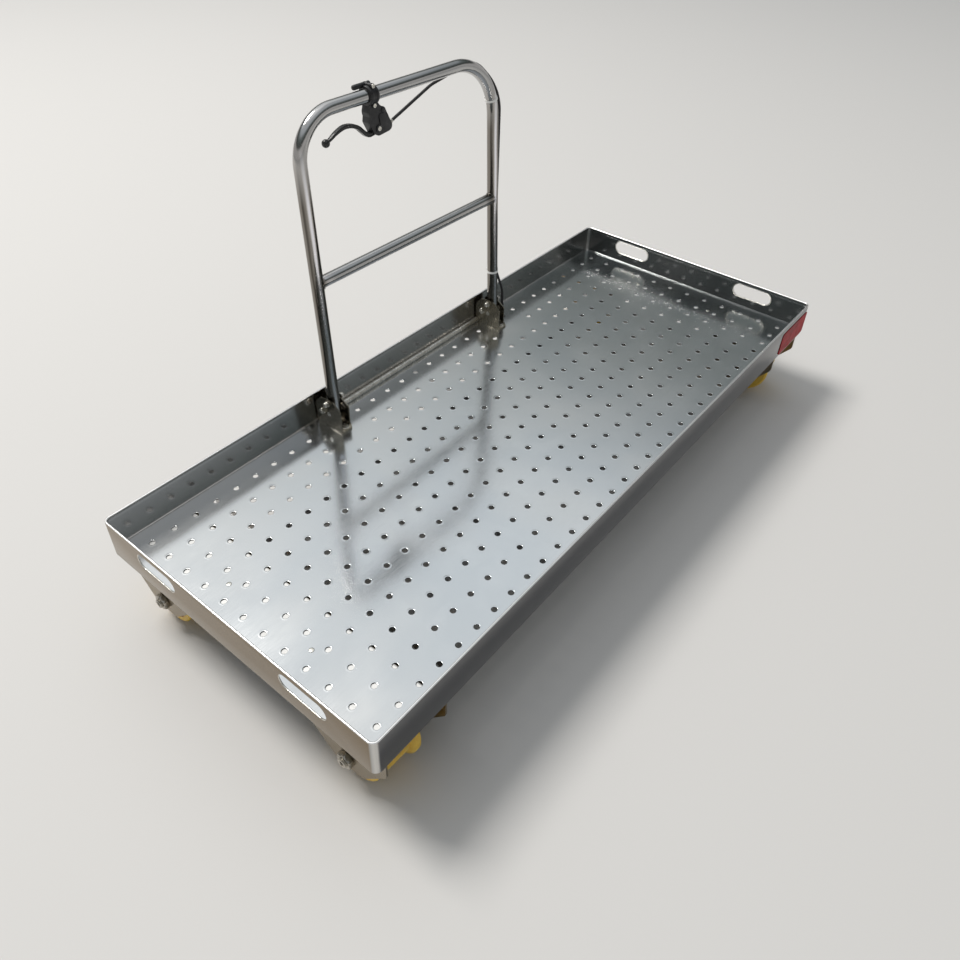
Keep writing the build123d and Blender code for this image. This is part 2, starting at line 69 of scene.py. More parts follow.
# Hole grid of the deck
HOLE_COLUMNS, HOLE_ROWS = 32, 12
HOLE_PITCH = (50 * MM, 55 * MM)
HOLE_CENTRE = (7 * MM, 4.5 * MM)
HOLE_R = 6 * MM
PLAIN_COLUMNS, PLAIN_ROWS = (9, 10, 21, 22), (10, 11)

# Handle: its plane stands on the hinge and leans back by the angle of its rest
HINGE = Vector(joints["handle_fold"]["pos_m"])
LEAN = math.radians(-2.2)
HANDLE = Matrix.Translation(HINGE) @ Matrix.Rotation(LEAN, 4, "X")
LEG_X = 286 * MM
LEG_TAIL = 18 * MM
TOP_S = 645 * MM
NEAR_BEND, FAR_BEND = 88 * MM, 130 * MM
TUBE_R, TUBE_WALL = 13.45 * MM, 2 * MM
CROSS_S, CROSS_R = 317 * MM, 13 * MM
CLAMP_X = -97 * MM
TIE_TURN, TIE_S = math.radians(16.5), 118 * MM  # one tie in the far bend, one low on the far leg
CABLE_START = Vector((CLAMP_X + 47 * MM, 0, TOP_S - 65 * MM))
CABLE_TURN = Vector((CLAMP_X + 197 * MM, 18.4 * MM, TOP_S - 27 * MM))

# Brackets of the handle
LEG_XS = (HINGE.x - LEG_X, HINGE.x + LEG_X)
CHEEK_IN, CHEEK_OUT, CHEEK_T = 16.5 * MM, 19.5 * MM, 3 * MM
CHEEK_BACK, CHEEK_FRONT, CHEEK_TOP = 347 * MM, 268.5 * MM, DECK_TOP + 78 * MM
BASE_T = 4 * MM
NUT_Y, NUT_RISE = 325 * MM, 40 * MM
PLUNGER_BACK, PLUNGER_RISE = 2 * MM, 66 * MM
FOOT_ROD_R, FOOT_ROD_GAP = 6.5 * MM, 6.6 * MM

# Wheels and their hangers, as distances from the middle of the trolley
AXLE_Y, AXLE_Z = 255 * MM, 74 * MM
HANGER_OUT, HANGER_IN, HANGER_T = 797 * MM, 656 * MM, 4 * MM
RAIL_Y, RAIL_HALF, RAIL_LOW = 165 * MM, 15 * MM, 141 * MM
MEMBER_HALF = 12 * MM


# Shape helpers

POINT_R = 0.01 * MM  # the radius of a turned form where it ends in a point


def skin(bm, rows, loop=False, caps=False):
    """Joins closed rows of points by faces; a loop joins the last row to the first."""
    made = [[bm.verts.new(point) for point in row] for row in rows]
    count = len(made[0])
    for i in range(len(made) if loop else len(made) - 1):
        low, high = made[i], made[(i + 1) % len(made)]
        for j in range(count):
            k = (j + 1) % count
            bm.faces.new((low[j], low[k], high[k], high[j]))
    if caps:
        bm.faces.new(made[0])
        bm.faces.new(list(reversed(made[-1])))
    return made


def placed(point, x, y, z):
    """The place at a point whose axes are the vectors x, y and z."""
    return Matrix.Translation(point) @ Matrix((x, y, z)).transposed().to_4x4()


def row_round(place, along, reach, steps):
    """A row of points round the place's X axis; reach is a number, or a function of the angle."""
    row = []
    for i in range(steps):
        turn = math.tau * i / steps
        r = reach(turn) if callable(reach) else reach
        row.append(place @ Vector((along, r * math.cos(turn), r * math.sin(turn))))
    return row


def turned(bm, profile, place, steps=48, loop=False):
    """A turned form round the place's X axis, from (along, radius) pairs; a radius of 0 ends a solid."""
    rows = [row_round(place, along, max(radius, POINT_R), steps) for along, radius in profile]
    skin(bm, rows, loop=loop, caps=not loop and profile[0][1] < POINT_R)


def frames_along(points, loop=False):
    """A (point, side, rise) triple at each point of a path, with the side and rise square to it."""
    count = len(points)
    frames = []
    rise = None
    for i, point in enumerate(points):
        before = points[i - 1] if loop or i > 0 else point
        after = points[(i + 1) % count] if loop or i < count - 1 else point
        ahead = (after - before).normalized()
        if rise is None:
            rise = Z_AXIS if abs(ahead.z) < 0.9 else Y_AXIS
        rise = (rise - ahead * rise.dot(ahead)).normalized()
        frames.append((point, ahead.cross(rise), rise))
    return frames


def tube(bm, points, radius, steps=24, loop=False):
    """A round bar along a path; radius is a number, or a function of the distance along it."""
    rows = []
    travelled = 0.0
    for i, (point, side, rise) in enumerate(frames_along(points, loop)):
        if i:
            travelled += (point - points[i - 1]).length
        r = radius(travelled) if callable(radius) else radius
        rows.append(row_round(placed(point, side.cross(rise), side, rise), 0.0, r, steps))
    skin(bm, rows, loop=loop, caps=not loop)


def across_x(x=0.0):
    """The place of a plate whose outline is in y and z, and whose thickness is along x."""
    return placed((x, 0, 0), Y_AXIS, Z_AXIS, X_AXIS)


def across_y():
    """The place of a plate whose outline is in x and z, and whose thickness is along y."""
    return placed((0, 0, 0), X_AXIS, Z_AXIS, Y_AXIS)


def spindle(point, axis):
    """The place of a turned form whose axis goes through a point, along X, Y or Z."""
    turn = {"X": Matrix.Identity(4), "Y": Matrix.Rotation(math.pi / 2, 4, "Z"),
            "Z": Matrix.Rotation(-math.pi / 2, 4, "Y")}[axis]
    return Matrix.Translation(point) @ turn


def millimetres(pairs):
    """Pairs, or corners with a radius, given in millimetres."""
    return [tuple(value * MM for value in pair) for pair in pairs]


def plate(bm, outline, low, high, place, edge=0.5 * MM, steps=2):
    """A plate between two heights, from its outline in the place's x and y, with softened edges."""
    low_ring = [bm.verts.new(place @ Vector((x, y, low))) for x, y in outline]
    high_ring = [bm.verts.new(place @ Vector((x, y, high))) for x, y in outline]
    faces = [bm.faces.new(list(reversed(low_ring))), bm.faces.new(high_ring)]
    count = len(outline)
    for i in range(count):
        j = (i + 1) % count
        faces.append(bm.faces.new((low_ring[i], low_ring[j], high_ring[j], high_ring[i])))
    if edge:
        rim = {e for face in faces[:2] for e in face.edges}
        bmesh.ops.bevel(
            bm, geom=list(rim), offset=edge, segments=steps, profile=0.5, affect="EDGES", clamp_overlap=True
        )


def rounded(corners, step_deg=15):
    """An outline from (x, y, radius) corners, each corner an arc."""
    outline = []
    count = len(corners)
    for i, (x, y, radius) in enumerate(corners):
        here = Vector((x, y))
        to_last = (Vector(corners[i - 1][:2]) - here).normalized()
        to_next = (Vector(corners[(i + 1) % count][:2]) - here).normalized()
        if radius <= 0:
            outline.append((x, y))
            continue
        half = to_last.angle(to_next) / 2
        centre = here + (to_last + to_next).normalized() * (radius / math.sin(half))
        start = here + to_last * (radius / math.tan(half)) - centre
        turn = math.pi - 2 * half
        sign = 1 if to_last.cross(to_next) < 0 else -1
        arcs = max(2, math.ceil(math.degrees(turn) / step_deg))
        for k in range(arcs + 1):
            angle = sign * turn * k / arcs
            c, s = math.cos(angle), math.sin(angle)
            outline.append((centre.x + start.x * c - start.y * s, centre.y + start.x * s + start.y * c))
    return outline


def polygon_reach(turn, sides, inner):
    """How far a regular polygon's edge is from its middle at an angle; inner is its least distance."""
    return inner / math.cos((turn + math.pi / sides) % (math.tau / sides) - math.pi / sides)


def hexagon(bm, place, flats, low, high, chamfer=0.8 * MM):
    """A hexagon nut or head round the place's X axis, its corners turned off at both faces."""
    def full(turn):
        return polygon_reach(turn, 6, flats / 2)

    def cut(turn):
        return min(full(turn), flats / math.sqrt(3) - 1.3 * chamfer, flats / 2 * 0.985)

    stations = ((low, cut), (low + chamfer, full), (high - chamfer, full), (high, cut))
    skin(bm, [row_round(place, along, reach, 36) for along, reach in stations], caps=True)


def bead(bm, points, radius=1.8 * MM, pitch=2.2 * MM, loop=False):
    """A weld bead with overlapping ripples along a path."""
    def ripple(distance):
        return radius * (0.82 + 0.22 * abs(math.sin(math.pi * distance / pitch)))
    tube(bm, points, ripple, steps=8, loop=loop)


def line(start, end, step=0.8 * MM):
    """Evenly spaced points from start to end."""
    start, end = Vector(start), Vector(end)
    count = max(2, math.ceil((end - start).length / step))
    return [start.lerp(end, i / count) for i in range(count + 1)]


def piece(name, bm, body, slot, replaced=(), angle=35.0):
    """Makes one piece of the trolley from its mesh, with its finish and the body that it rides on."""
    bmesh.ops.recalc_face_normals(bm, faces=bm.faces)
    mesh = bpy.data.meshes.new(name)
    bm.to_mesh(mesh)
    bm.free()
    mesh.shade_smooth()
    mesh.set_sharp_from_angle(angle=math.radians(angle))
    made = bpy.data.objects.new(name, mesh)
    scene.collection.objects.link(made)
    mesh.materials.append(materials[slot])
    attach(made, body)
    if replaced:
        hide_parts(*replaced)
    return made


# Material helpers

class Finish:
    """One material: a shader, and the maps that are worked out from the object's own coordinates."""

    def __init__(self, metallic, roughness, **constants):
        self.material = bpy.data.materials.new("finish")
        self.material.use_nodes = True
        self.tree = self.material.node_tree
        self.shader = self.tree.nodes["Principled BSDF"]
        self.shader.inputs["Metallic"].default_value = metallic
        self.shader.inputs["Roughness"].default_value = roughness
        for socket, value in constants.items():
            self.shader.inputs[socket.replace("_", " ")].default_value = value
        self.coords = self.tree.nodes.new("ShaderNodeTexCoord").outputs["Object"]

    def feed(self, value, socket):
        """Puts an output, a colour or a number into a socket."""
        if isinstance(value, bpy.types.NodeSocket):
            self.tree.links.new(value, socket)
        else:
            socket.default_value = (*value, 1.0) if isinstance(value, tuple) else value

    def noise(self, scale, detail=3.0, distortion=0.0):
        """Noise with so many features to the metre along X, Y and Z."""
        mapping = self.tree.nodes.new("ShaderNodeMapping")
        mapping.inputs["Scale"].default_value = scale if isinstance(scale, tuple) else (scale,) * 3
        texture = self.tree.nodes.new("ShaderNodeTexNoise")
        texture.inputs["Scale"].default_value = 1.0
        texture.inputs["Detail"].default_value = detail
        texture.inputs["Distortion"].default_value = distortion
        self.feed(self.coords, mapping.inputs["Vector"])
        self.feed(mapping.outputs["Vector"], texture.inputs["Vector"])
        return texture.outputs["Fac"]

    def colours(self, factor, stops):
        """A colour from a factor, through (position, colour) stops."""
        ramp = self.tree.nodes.new("ShaderNodeValToRGB")
        self.fill_ramp(ramp.color_ramp, stops)
        self.feed(factor, ramp.inputs["Fac"])
        return ramp.outputs["Color"]

    @staticmethod
    def fill_ramp(ramp, stops):
        for i, (position, colour) in enumerate(stops):
            element = ramp.elements[i] if i < len(ramp.elements) else ramp.elements.new(position)
            element.position = position
            element.color = (*colour, 1.0)

    def mixed(self, factor, first, second):
        """Mixes two colours, each a colour or an output."""
        mix = self.tree.nodes.new("ShaderNodeMix")
        mix.data_type = "RGBA"
        for value, socket in ((factor, 0), (first, 6), (second, 7)):
            self.feed(value, mix.inputs[socket])
        return mix.outputs[2]

    def ranged(self, factor, low, high, at_low, at_high):
        """Maps a factor between two limits to a new range."""
        node = self.tree.nodes.new("ShaderNodeMapRange")
        for socket, value in (("From Min", low), ("From Max", high), ("To Min", at_low), ("To Max", at_high)):
            node.inputs[socket].default_value = value
        self.feed(factor, node.inputs["Value"])
        return node.outputs["Result"]

    def math(self, kind, first, second):
        node = self.tree.nodes.new("ShaderNodeMath")
        node.operation = kind
        self.feed(first, node.inputs[0])
        self.feed(second, node.inputs[1])
        return node.outputs["Value"]

    def bump(self, height, distance, strength=1.0):
        """Adds relief of so many metres, on top of what is there."""
        node = self.tree.nodes.new("ShaderNodeBump")
        node.inputs["Distance"].default_value = distance
        node.inputs["Strength"].default_value = strength
        self.feed(height, node.inputs["Height"])
        normal = self.shader.inputs["Normal"]
        if normal.is_linked:
            self.feed(normal.links[0].from_socket, node.inputs["Normal"])
        self.feed(node.outputs["Normal"], normal)

    def axes(self):
        """The X, Y and Z of a point of the object."""
        node = self.tree.nodes.new("ShaderNodeSeparateXYZ")
        self.feed(self.coords, node.inputs["Vector"])
        return node.outputs

    def set(self, socket, output):
        self.feed(output, self.shader.inputs[socket])


def painted_wall_reflections(finish, base):
    """Painted reflections and shade on the walls: darker outer faces, brown on the end walls and near black on the
    front and rear walls, darker inner faces on the end walls, and brighter rounded corners as a painted highlight.
    """
    axes = finish.axes()
    x, y = (finish.math("ABSOLUTE", axes[axis], 0.0) for axis in "XY")
    # Painted shade: the end walls' inner faces are darker.
    inner_end = finish.ranged(x, TRAY_X - 7 * MM, TRAY_X - 5 * MM, 0.0, 1.0)
    base = finish.mixed(inner_end, base, (0.25, 0.26, 0.26))
    # Painted reflections: the end walls' outer faces are brown, standing in for a lit ground, and the front and rear
    # walls' outer faces near black, standing in for its shadow.
    end = finish.ranged(x, TRAY_X - 1.2 * MM, TRAY_X - 0.4 * MM, 0.0, 1.0)
    side = finish.ranged(y, TRAY_Y - 1.2 * MM, TRAY_Y - 0.4 * MM, 0.0, 1.0)
    base = finish.mixed(end, base, (0.23, 0.175, 0.11))
    base = finish.mixed(side, base, (0.15, 0.15, 0.155))
    # Painted highlight: the rounded corners are brighter than the outer faces.
    bend_x = finish.ranged(x, TRAY_X - CORNER_R + 2 * MM, TRAY_X - 5 * MM, 0.0, 1.0)
    bend_y = finish.ranged(y, TRAY_Y - CORNER_R + 2 * MM, TRAY_Y - 5 * MM, 0.0, 1.0)
    return finish.mixed(finish.math("MULTIPLY", bend_x, bend_y), base, (0.62, 0.61, 0.59))


def painted_leg_reflections(finish, base):
    """Painted reflections along the handle's two legs: light and dark streaks set by the angle round each leg."""
    x, y, z = finish.axes()
    x = finish.math("SUBTRACT", x, HINGE.x)
    leg = finish.math("MULTIPLY", finish.math("SIGN", x, 0.0), LEG_X)
    lean = finish.math("MULTIPLY", finish.math("SUBTRACT", z, HINGE.z), math.tan(-LEAN))
    away = finish.math("SUBTRACT", x, leg)
    back = finish.math("SUBTRACT", finish.math("SUBTRACT", y, HINGE.y), lean)
    turn = finish.ranged(finish.math("ARCTAN2", back, away), -math.pi, math.pi, 0.0, 1.0)
    wobble = finish.ranged(finish.noise((3.0, 3.0, 7.0), 2.0), 0.3, 0.7, -0.014, 0.014)
    # Painted reflections: brightness by the angle round the leg, dark streaks for a shaded ground and bright lines
    # for highlights; the darker stops are tinted warm.
    bright = (
        (0.0, 0.26), (0.033, 0.20), (0.061, 0.08), (0.086, 0.14), (0.114, 0.24), (0.140, 0.30), (0.163, 0.62),
        (0.182, 0.95), (0.220, 0.95), (0.245, 0.50), (0.275, 0.18), (0.31, 0.10), (0.37, 0.34), (0.43, 0.70),
        (0.50, 0.44), (0.56, 0.14), (0.63, 0.50), (0.70, 0.80), (0.78, 0.46), (0.86, 0.14), (0.92, 0.36),
        (0.964, 0.20), (1.0, 0.26),
    )
    stops = [(place, (value, value * (0.90 + 0.1 * value), value * (0.76 + 0.3 * value))) for place, value in bright]
    drawn = finish.colours(finish.math("ADD", turn, wobble), stops)
    # The painted reflections fade out toward the top bends and away from the legs.
    low = finish.ranged(z, HINGE.z + TOP_S - FAR_BEND - 30 * MM, HINGE.z + TOP_S - 40 * MM, 1.0, 0.0)
    near = finish.ranged(finish.math("ABSOLUTE", away, 0.0), TUBE_R + 3 * MM, TUBE_R + 30 * MM, 1.0, 0.0)
    return finish.mixed(finish.math("MULTIPLY", low, near), base, drawn)


def sheet_steel(light, dark, rough, haze, grain, smudge=0.5, bands=(), pattern=None):
    """Stainless steel: soft clouds, faint grain along one axis and smudges.

    Each band is (start height, full height, colour, roughness), for painted highlights on rims and painted shade in
    cut edges and under the deck.
    The pattern function paints reflections and shade of its own before the bands do.
    """
    finish = Finish(1.0, rough)
    clouds = finish.noise(2.6, 3.0, 0.6)
    base = finish.colours(clouds, ((0.36, dark), (0.64, light)))
    dust = finish.ranged(finish.noise(11.0, 6.0, 0.4), 0.5, 0.8, 0.0, smudge)
    base = finish.mixed(dust, base, tuple(0.5 * (a + b) * 1.08 for a, b in zip(light, dark)))
    grain_noise = finish.noise(grain, 4.0)
    soft = finish.ranged(clouds, 0.3, 0.7, rough - haze, rough + haze)
    patch = finish.ranged(finish.noise(7.0, 5.0), 0.35, 0.75, -0.4 * haze, 0.8 * haze)
    total = finish.math("ADD", soft, patch)
    roughness = finish.math("ADD", total, finish.ranged(grain_noise, 0.3, 0.7, -0.03, 0.03))
    if pattern:
        base = pattern(finish, base)
    # Each band paints a highlight or a shade by height.
    for start, full, colour, band_rough in bands:
        inside = finish.ranged(finish.axes()["Z"], start, full, 0.0, 1.0)
        base = finish.mixed(inside, base, colour)
        roughness = finish.math("ADD", roughness, finish.math("MULTIPLY", inside, band_rough - rough))
    finish.set("Base Color", base)
    finish.set("Roughness", roughness)
    finish.bump(grain_noise, 0.007 * MM, 0.5)
    finish.bump(finish.noise(5.0, 2.0), 0.5 * MM, 0.12)
    return finish.material


def turned_steel(light, dark, rough):
    """Bright machined or zinc-plated steel with small stains."""
    finish = Finish(1.0, rough)
    stains = finish.noise(60.0, 5.0)
    finish.set("Base Color", finish.colours(stains, ((0.4, dark), (0.6, light))))
    finish.set("Roughness", finish.ranged(stains, 0.3, 0.7, rough + 0.1, rough - 0.04))
    finish.bump(finish.noise(900.0, 3.0), 0.02 * MM, 0.5)
    return finish.material


def moulded(light, dark, rough, scale, relief, **constants):
    """Moulded plastic, rubber or paint: a fine grain, a slow change of colour and duller patches."""
    finish = Finish(0.0, rough, **constants)
    finish.set("Base Color", finish.colours(finish.noise(scale * 0.05, 4.0), ((0.35, dark), (0.65, light))))
    finish.set("Roughness", finish.ranged(finish.noise(scale * 0.12, 4.0), 0.3, 0.7, rough - 0.07, rough + 0.1))
    finish.bump(finish.noise(scale, 3.0), relief * MM, 0.6)
    return finish.material


materials = {
    "deck_steel": sheet_steel(
        (0.69, 0.70, 0.70), (0.59, 0.62, 0.64), 0.17, 0.04, (40.0, 900.0, 900.0),
        bands=(
            # Painted highlight: anything above the deck's top face turns near white.
            (DECK_TOP + 0.4 * MM, DECK_TOP + 0.9 * MM, (0.96, 0.95, 0.93), 0.40),
            # Painted shade: the holes' walls are black from just below the deck's top.
            (DECK_TOP - 0.2 * MM, DECK_TOP - 0.5 * MM, (0.03, 0.03, 0.035), 0.5),
            # Painted shade: below the deck's lower face the steel is a mid grey, darker than its top.
            (DECK_TOP - 1.8 * MM, DECK_TOP - 1.97 * MM, (0.34, 0.34, 0.34), 0.4),
        )
    ),
    "wall_steel": sheet_steel(
        (0.62, 0.60, 0.58), (0.50, 0.49, 0.48), 0.15, 0.03, (40.0, 900.0, 900.0),
        # Painted highlight: the top of the rolled rim is near white; the pattern paints the walls' reflections and
        # shade.
        bands=((WALL_TOP - 1.9 * MM, WALL_TOP - 1.0 * MM, (0.95, 0.94, 0.93), 0.30),), pattern=painted_wall_reflections
    ),
    "frame_steel": sheet_steel((0.50, 0.50, 0.50), (0.40, 0.41, 0.42), 0.36, 0.06, (60.0, 700.0, 700.0)),
    "hanger_steel": sheet_steel(
        # Painted shade and reflection: the plates are darker and browner than bare steel, like the walls' painted
        # ground.
        (0.29, 0.24, 0.17), (0.22, 0.185, 0.135), 0.28, 0.06, (700.0, 60.0, 700.0),
        # Painted light: the plates' top faces under the deck are pale, where light comes through the holes.
        bands=((DECK_TOP - 2.4 * MM, DECK_TOP - 2.1 * MM, (0.60, 0.60, 0.59), 0.60),)
    ),
    "axle_steel": turned_steel((0.50, 0.47, 0.41), (0.34, 0.32, 0.28), 0.30),
    "wheel_nylon": moulded(
        (0.83, 0.56, 0.09), (0.68, 0.43, 0.05), 0.38, 900.0, 0.03,
        Subsurface_Weight=0.12, Subsurface_Scale=0.004
    ),
    "sleeve_steel": turned_steel((0.62, 0.61, 0.60), (0.48, 0.47, 0.46), 0.28),
    # Painted shade and reflection: the brackets are dark and brown, standing in for the dark ground they reflect.
    "bracket_steel": sheet_steel((0.32, 0.29, 0.23), (0.17, 0.155, 0.125), 0.22, 0.06, (500.0, 500.0, 60.0)),
    "bolt_steel": turned_steel((0.78, 0.76, 0.70), (0.62, 0.60, 0.55), 0.24),
    # The pattern paints reflections along the handle's legs.
    "tube_steel": sheet_steel(
        (0.54, 0.53, 0.52), (0.46, 0.46, 0.46), 0.15, 0.02, (300.0, 300.0, 300.0), 0.1, pattern=painted_leg_reflections
    ),
    "clamp_black": moulded((0.018, 0.018, 0.019), (0.010, 0.010, 0.011), 0.36, 1500.0, 0.04),
    "lever_black": moulded((0.020, 0.020, 0.022), (0.010, 0.010, 0.011), 0.34, 1500.0, 0.04),
    "blade_black": moulded((0.022, 0.022, 0.022), (0.011, 0.011, 0.012), 0.26, 1200.0, 0.02),
    "ferrule_black": turned_steel((0.72, 0.70, 0.64), (0.55, 0.53, 0.48), 0.24),
    "cable_black": moulded((0.020, 0.019, 0.020), (0.012, 0.011, 0.012), 0.42, 1400.0, 0.05),
    "tie_white": moulded((0.86, 0.86, 0.84), (0.78, 0.78, 0.76), 0.42, 900.0, 0.02),
    "grommet_black": moulded((0.026, 0.025, 0.025), (0.014, 0.014, 0.014), 0.55, 900.0, 0.05),
    "marker_red": moulded((0.42, 0.012, 0.020), (0.27, 0.008, 0.014), 0.45, 700.0, 0.04, Specular_IOR_Level=0.1),
    "brake_steel": sheet_steel((0.52, 0.52, 0.51), (0.42, 0.42, 0.42), 0.34, 0.06, (60.0, 500.0, 500.0)),
    "shoe_lining": moulded((0.070, 0.064, 0.056), (0.040, 0.037, 0.033), 0.8, 500.0, 0.3),
}
for name, material in materials.items():
    material.name = name
for subpart in record["subparts"]:
    mesh = frame["nodes"][subpart["node"]].data
    mesh.materials.clear()
    mesh.materials.append(materials[subpart["material_slot"]])


# Camera at the photograph's viewpoint

CAMERA_AT = Vector((-1.2270, -0.8457, 1.3613))
CAMERA_AHEAD = Vector((0.61119, 0.47613, -0.63226))
CAMERA_RIGHT = Vector((0.62920, -0.77690, 0.02317))
CAMERA_UP = Vector((0.48017, 0.41198, 0.77441))
FOCAL_PIXELS, FRAME_PIXELS, SENSOR = 818.42, 960.0, 36.0
camera = bpy.data.objects.new("camera", bpy.data.cameras.new("camera"))
camera.data.sensor_width = SENSOR
camera.data.lens = FOCAL_PIXELS / FRAME_PIXELS * SENSOR
camera.data.shift_x, camera.data.shift_y = -0.0007, -0.0559
camera.matrix_world = placed(CAMERA_AT, CAMERA_RIGHT, CAMERA_UP, -CAMERA_AHEAD)
scene.collection.objects.link(camera)
scene.camera = camera


# Studio: a plain floor, a pale sky with a darker band low down and a brighter patch, and one large soft lamp

floor_finish = Finish(0.0, 0.9)
floor_finish.material.name = "studio_floor"
floor_finish.shader.inputs["Base Color"].default_value = (0.60, 0.59, 0.575, 1.0)
floor_mesh = bpy.data.meshes.new("studio_floor")
FLOOR = 30.0
floor_mesh.from_pydata(
    [(-FLOOR, -FLOOR, 0), (FLOOR, -FLOOR, 0), (FLOOR, FLOOR, 0), (-FLOOR, FLOOR, 0)], [], [(0, 1, 2, 3)]
)
floor_mesh.materials.append(floor_finish.material)
floor = bpy.data.objects.new("studio_floor", floor_mesh)
scene.collection.objects.link(floor)

world = bpy.data.worlds.new("studio")
scene.world = world
world.use_nodes = True
nodes, links = world.node_tree.nodes, world.node_tree.links
direction = nodes.new("ShaderNodeTexCoord").outputs["Generated"]
split = nodes.new("ShaderNodeSeparateXYZ")
sky = nodes.new("ShaderNodeValToRGB")
sky.color_ramp.interpolation = "EASE"
Finish.fill_ramp(sky.color_ramp, (
    (0.0, (0.52, 0.51, 0.50)),
    (0.24, (0.50, 0.49, 0.48)),
    (0.33, (0.065, 0.07, 0.067)),
    (0.40, (0.070, 0.08, 0.077)),
    (0.54, (0.130, 0.15, 0.147)),
    (0.73, (0.49, 0.525, 0.56)),
    (0.88, (0.54, 0.56, 0.58)),
    (1.0, (0.95, 0.97, 1.0)),
))
links.new(direction, split.inputs["Vector"])
links.new(split.outputs["Z"], sky.inputs["Fac"])
toward = nodes.new("ShaderNodeVectorMath")
toward.operation = "DOT_PRODUCT"
toward.inputs[1].default_value = (0.30, 0.46, 0.835)
links.new(direction, toward.inputs[0])
glow = nodes.new("ShaderNodeValToRGB")
glow.color_ramp.interpolation = "EASE"
Finish.fill_ramp(glow.color_ramp, ((0.80, (0.0, 0.0, 0.0)), (0.95, (0.38, 0.38, 0.37))))
links.new(toward.outputs["Value"], glow.inputs["Fac"])
both = nodes.new("ShaderNodeMix")
both.data_type = "RGBA"
both.blend_type = "ADD"
both.inputs[0].default_value = 1.0
links.new(sky.outputs["Color"], both.inputs[6])
links.new(glow.outputs["Color"], both.inputs[7])
links.new(both.outputs[2], nodes["Background"].inputs["Color"])
nodes["Background"].inputs["Strength"].default_value = 1.0

LAMP_AT, LAMP_TOWARD = Vector((-1.7, 5.0, 8.8)), Vector((0.0, 0.0, 0.2))
light = bpy.data.lights.new("key_lamp", "AREA")
light.shape = "SQUARE"
light.size = 3.2
light.energy = 850.0
light.color = (1.0, 0.97, 0.93)
lamp = bpy.data.objects.new("key_lamp", light)
lamp.location = LAMP_AT
lamp.rotation_euler = (LAMP_TOWARD - LAMP_AT).to_track_quat("-Z", "Y").to_euler()
lamp.visible_camera = False
scene.collection.objects.link(lamp)


# Deck: the turned-in edge of each punched hole

def hole_edges():
    bm = bmesh.new()
    # Below the deck's top the edge lines the hole's wall, which the deck steel paints dark as shade.
    profile = millimetres((  # (height, distance outside the hole's wall)
        (0.01, 3.6), (0.07, 2.6), (0.14, 1.6), (0.15, 0.9), (0.08, 0.4), (-0.06, -0.02), (-0.5, -0.06),
        (-1.95, -0.06),
    ))
    for column in range(HOLE_COLUMNS):
        for row in range(HOLE_ROWS):
            if column in PLAIN_COLUMNS and row in PLAIN_ROWS:
                continue
            x = HOLE_CENTRE[0] + (column - (HOLE_COLUMNS - 1) / 2) * HOLE_PITCH[0]
            y = HOLE_CENTRE[1] + (row - (HOLE_ROWS - 1) / 2) * HOLE_PITCH[1]
            place = placed((x, y, DECK_TOP), Z_AXIS, X_AXIS, Y_AXIS)
            skin(bm, [row_round(place, height, HOLE_R + out, 20) for height, out in profile])
    piece("hole_edges", bm, "trolley", "deck_steel", angle=180.0)


hole_edges()


# Handle: one smooth tube, its crossbar and the weld round each joint

def handle_path():
    """Centre line of the bent tube, in the handle's own frame."""
    middle = 0.3
    points = [(-LEG_X, -LEG_TAIL), (-LEG_X, middle)]
    for i in range(25):
        turn = math.radians(90 * i / 24)
        points.append((-LEG_X + NEAR_BEND * (1 - math.cos(turn)), TOP_S - NEAR_BEND + NEAR_BEND * math.sin(turn)))
    for i in range(37):
        turn = math.radians(90 * i / 36)
        points.append((LEG_X - FAR_BEND + FAR_BEND * math.sin(turn), TOP_S - FAR_BEND + FAR_BEND * math.cos(turn)))
    points += [(LEG_X, middle), (LEG_X, -LEG_TAIL)]
    return [Vector((x, 0, rise)) for x, rise in points]


def handle():
    bm = bmesh.new()
    path = handle_path()
    steps = 56
    rings = []
    for radius in (TUBE_R, TUBE_R - TUBE_WALL):
        rows = []
        for i, point in enumerate(path):
            before = path[max(i - 1, 0)]
            after = path[min(i + 1, len(path) - 1)]
            ahead = (after - before).normalized()
            place = HANDLE @ placed(point, ahead, Y_AXIS.cross(ahead), Y_AXIS)
            rows.append(row_round(place, 0.0, radius, steps))
        rings.append(skin(bm, rows))
    for end in (0, -1):
        outer, inner = rings[0][end], rings[1][end]
        for j in range(steps):
            k = (j + 1) % steps
            bm.faces.new((outer[j], outer[k], inner[k], inner[j]))
    piece("handle_tube_smooth", bm, "handle", "tube_steel", ("handle_tube",))


def saddle(turn, side, radius, reach=0.0):
    """A point where a bar across the handle meets a leg, at an angle round the bar."""
    y, z = radius * math.cos(turn), radius * math.sin(turn)
    x = LEG_X - math.sqrt(max((TUBE_R + reach) ** 2 - y * y, 0))
    return HANDLE @ Vector((side * x, y, CROSS_S + z))


def crossbar():
    """The bar between the legs, and the weld round each of its ends."""
    bm = bmesh.new()
    rows = []
    for side, reach in ((-1, -0.6 * MM), (-1, 12 * MM), (1, 12 * MM), (1, -0.6 * MM)):
        rows.append([saddle(math.tau * j / 48, side, CROSS_R, reach) for j in range(48)])
    skin(bm, rows, caps=True)
    piece("crossbar_smooth", bm, "handle", "tube_steel", ("crossbar",))
    bm = bmesh.new()
    for side in (-1, 1):
        ring = [saddle(math.tau * j / 96, side, CROSS_R + 0.6 * MM, 0.7 * MM) for j in range(96)]
        bead(bm, ring, 1.7 * MM, 2.6 * MM, loop=True)
    piece("crossbar_welds", bm, "handle", "tube_steel", angle=80.0)


handle()
crossbar()


# Walls: each one a bent sheet with a rolled rim and a foot turned in under the deck

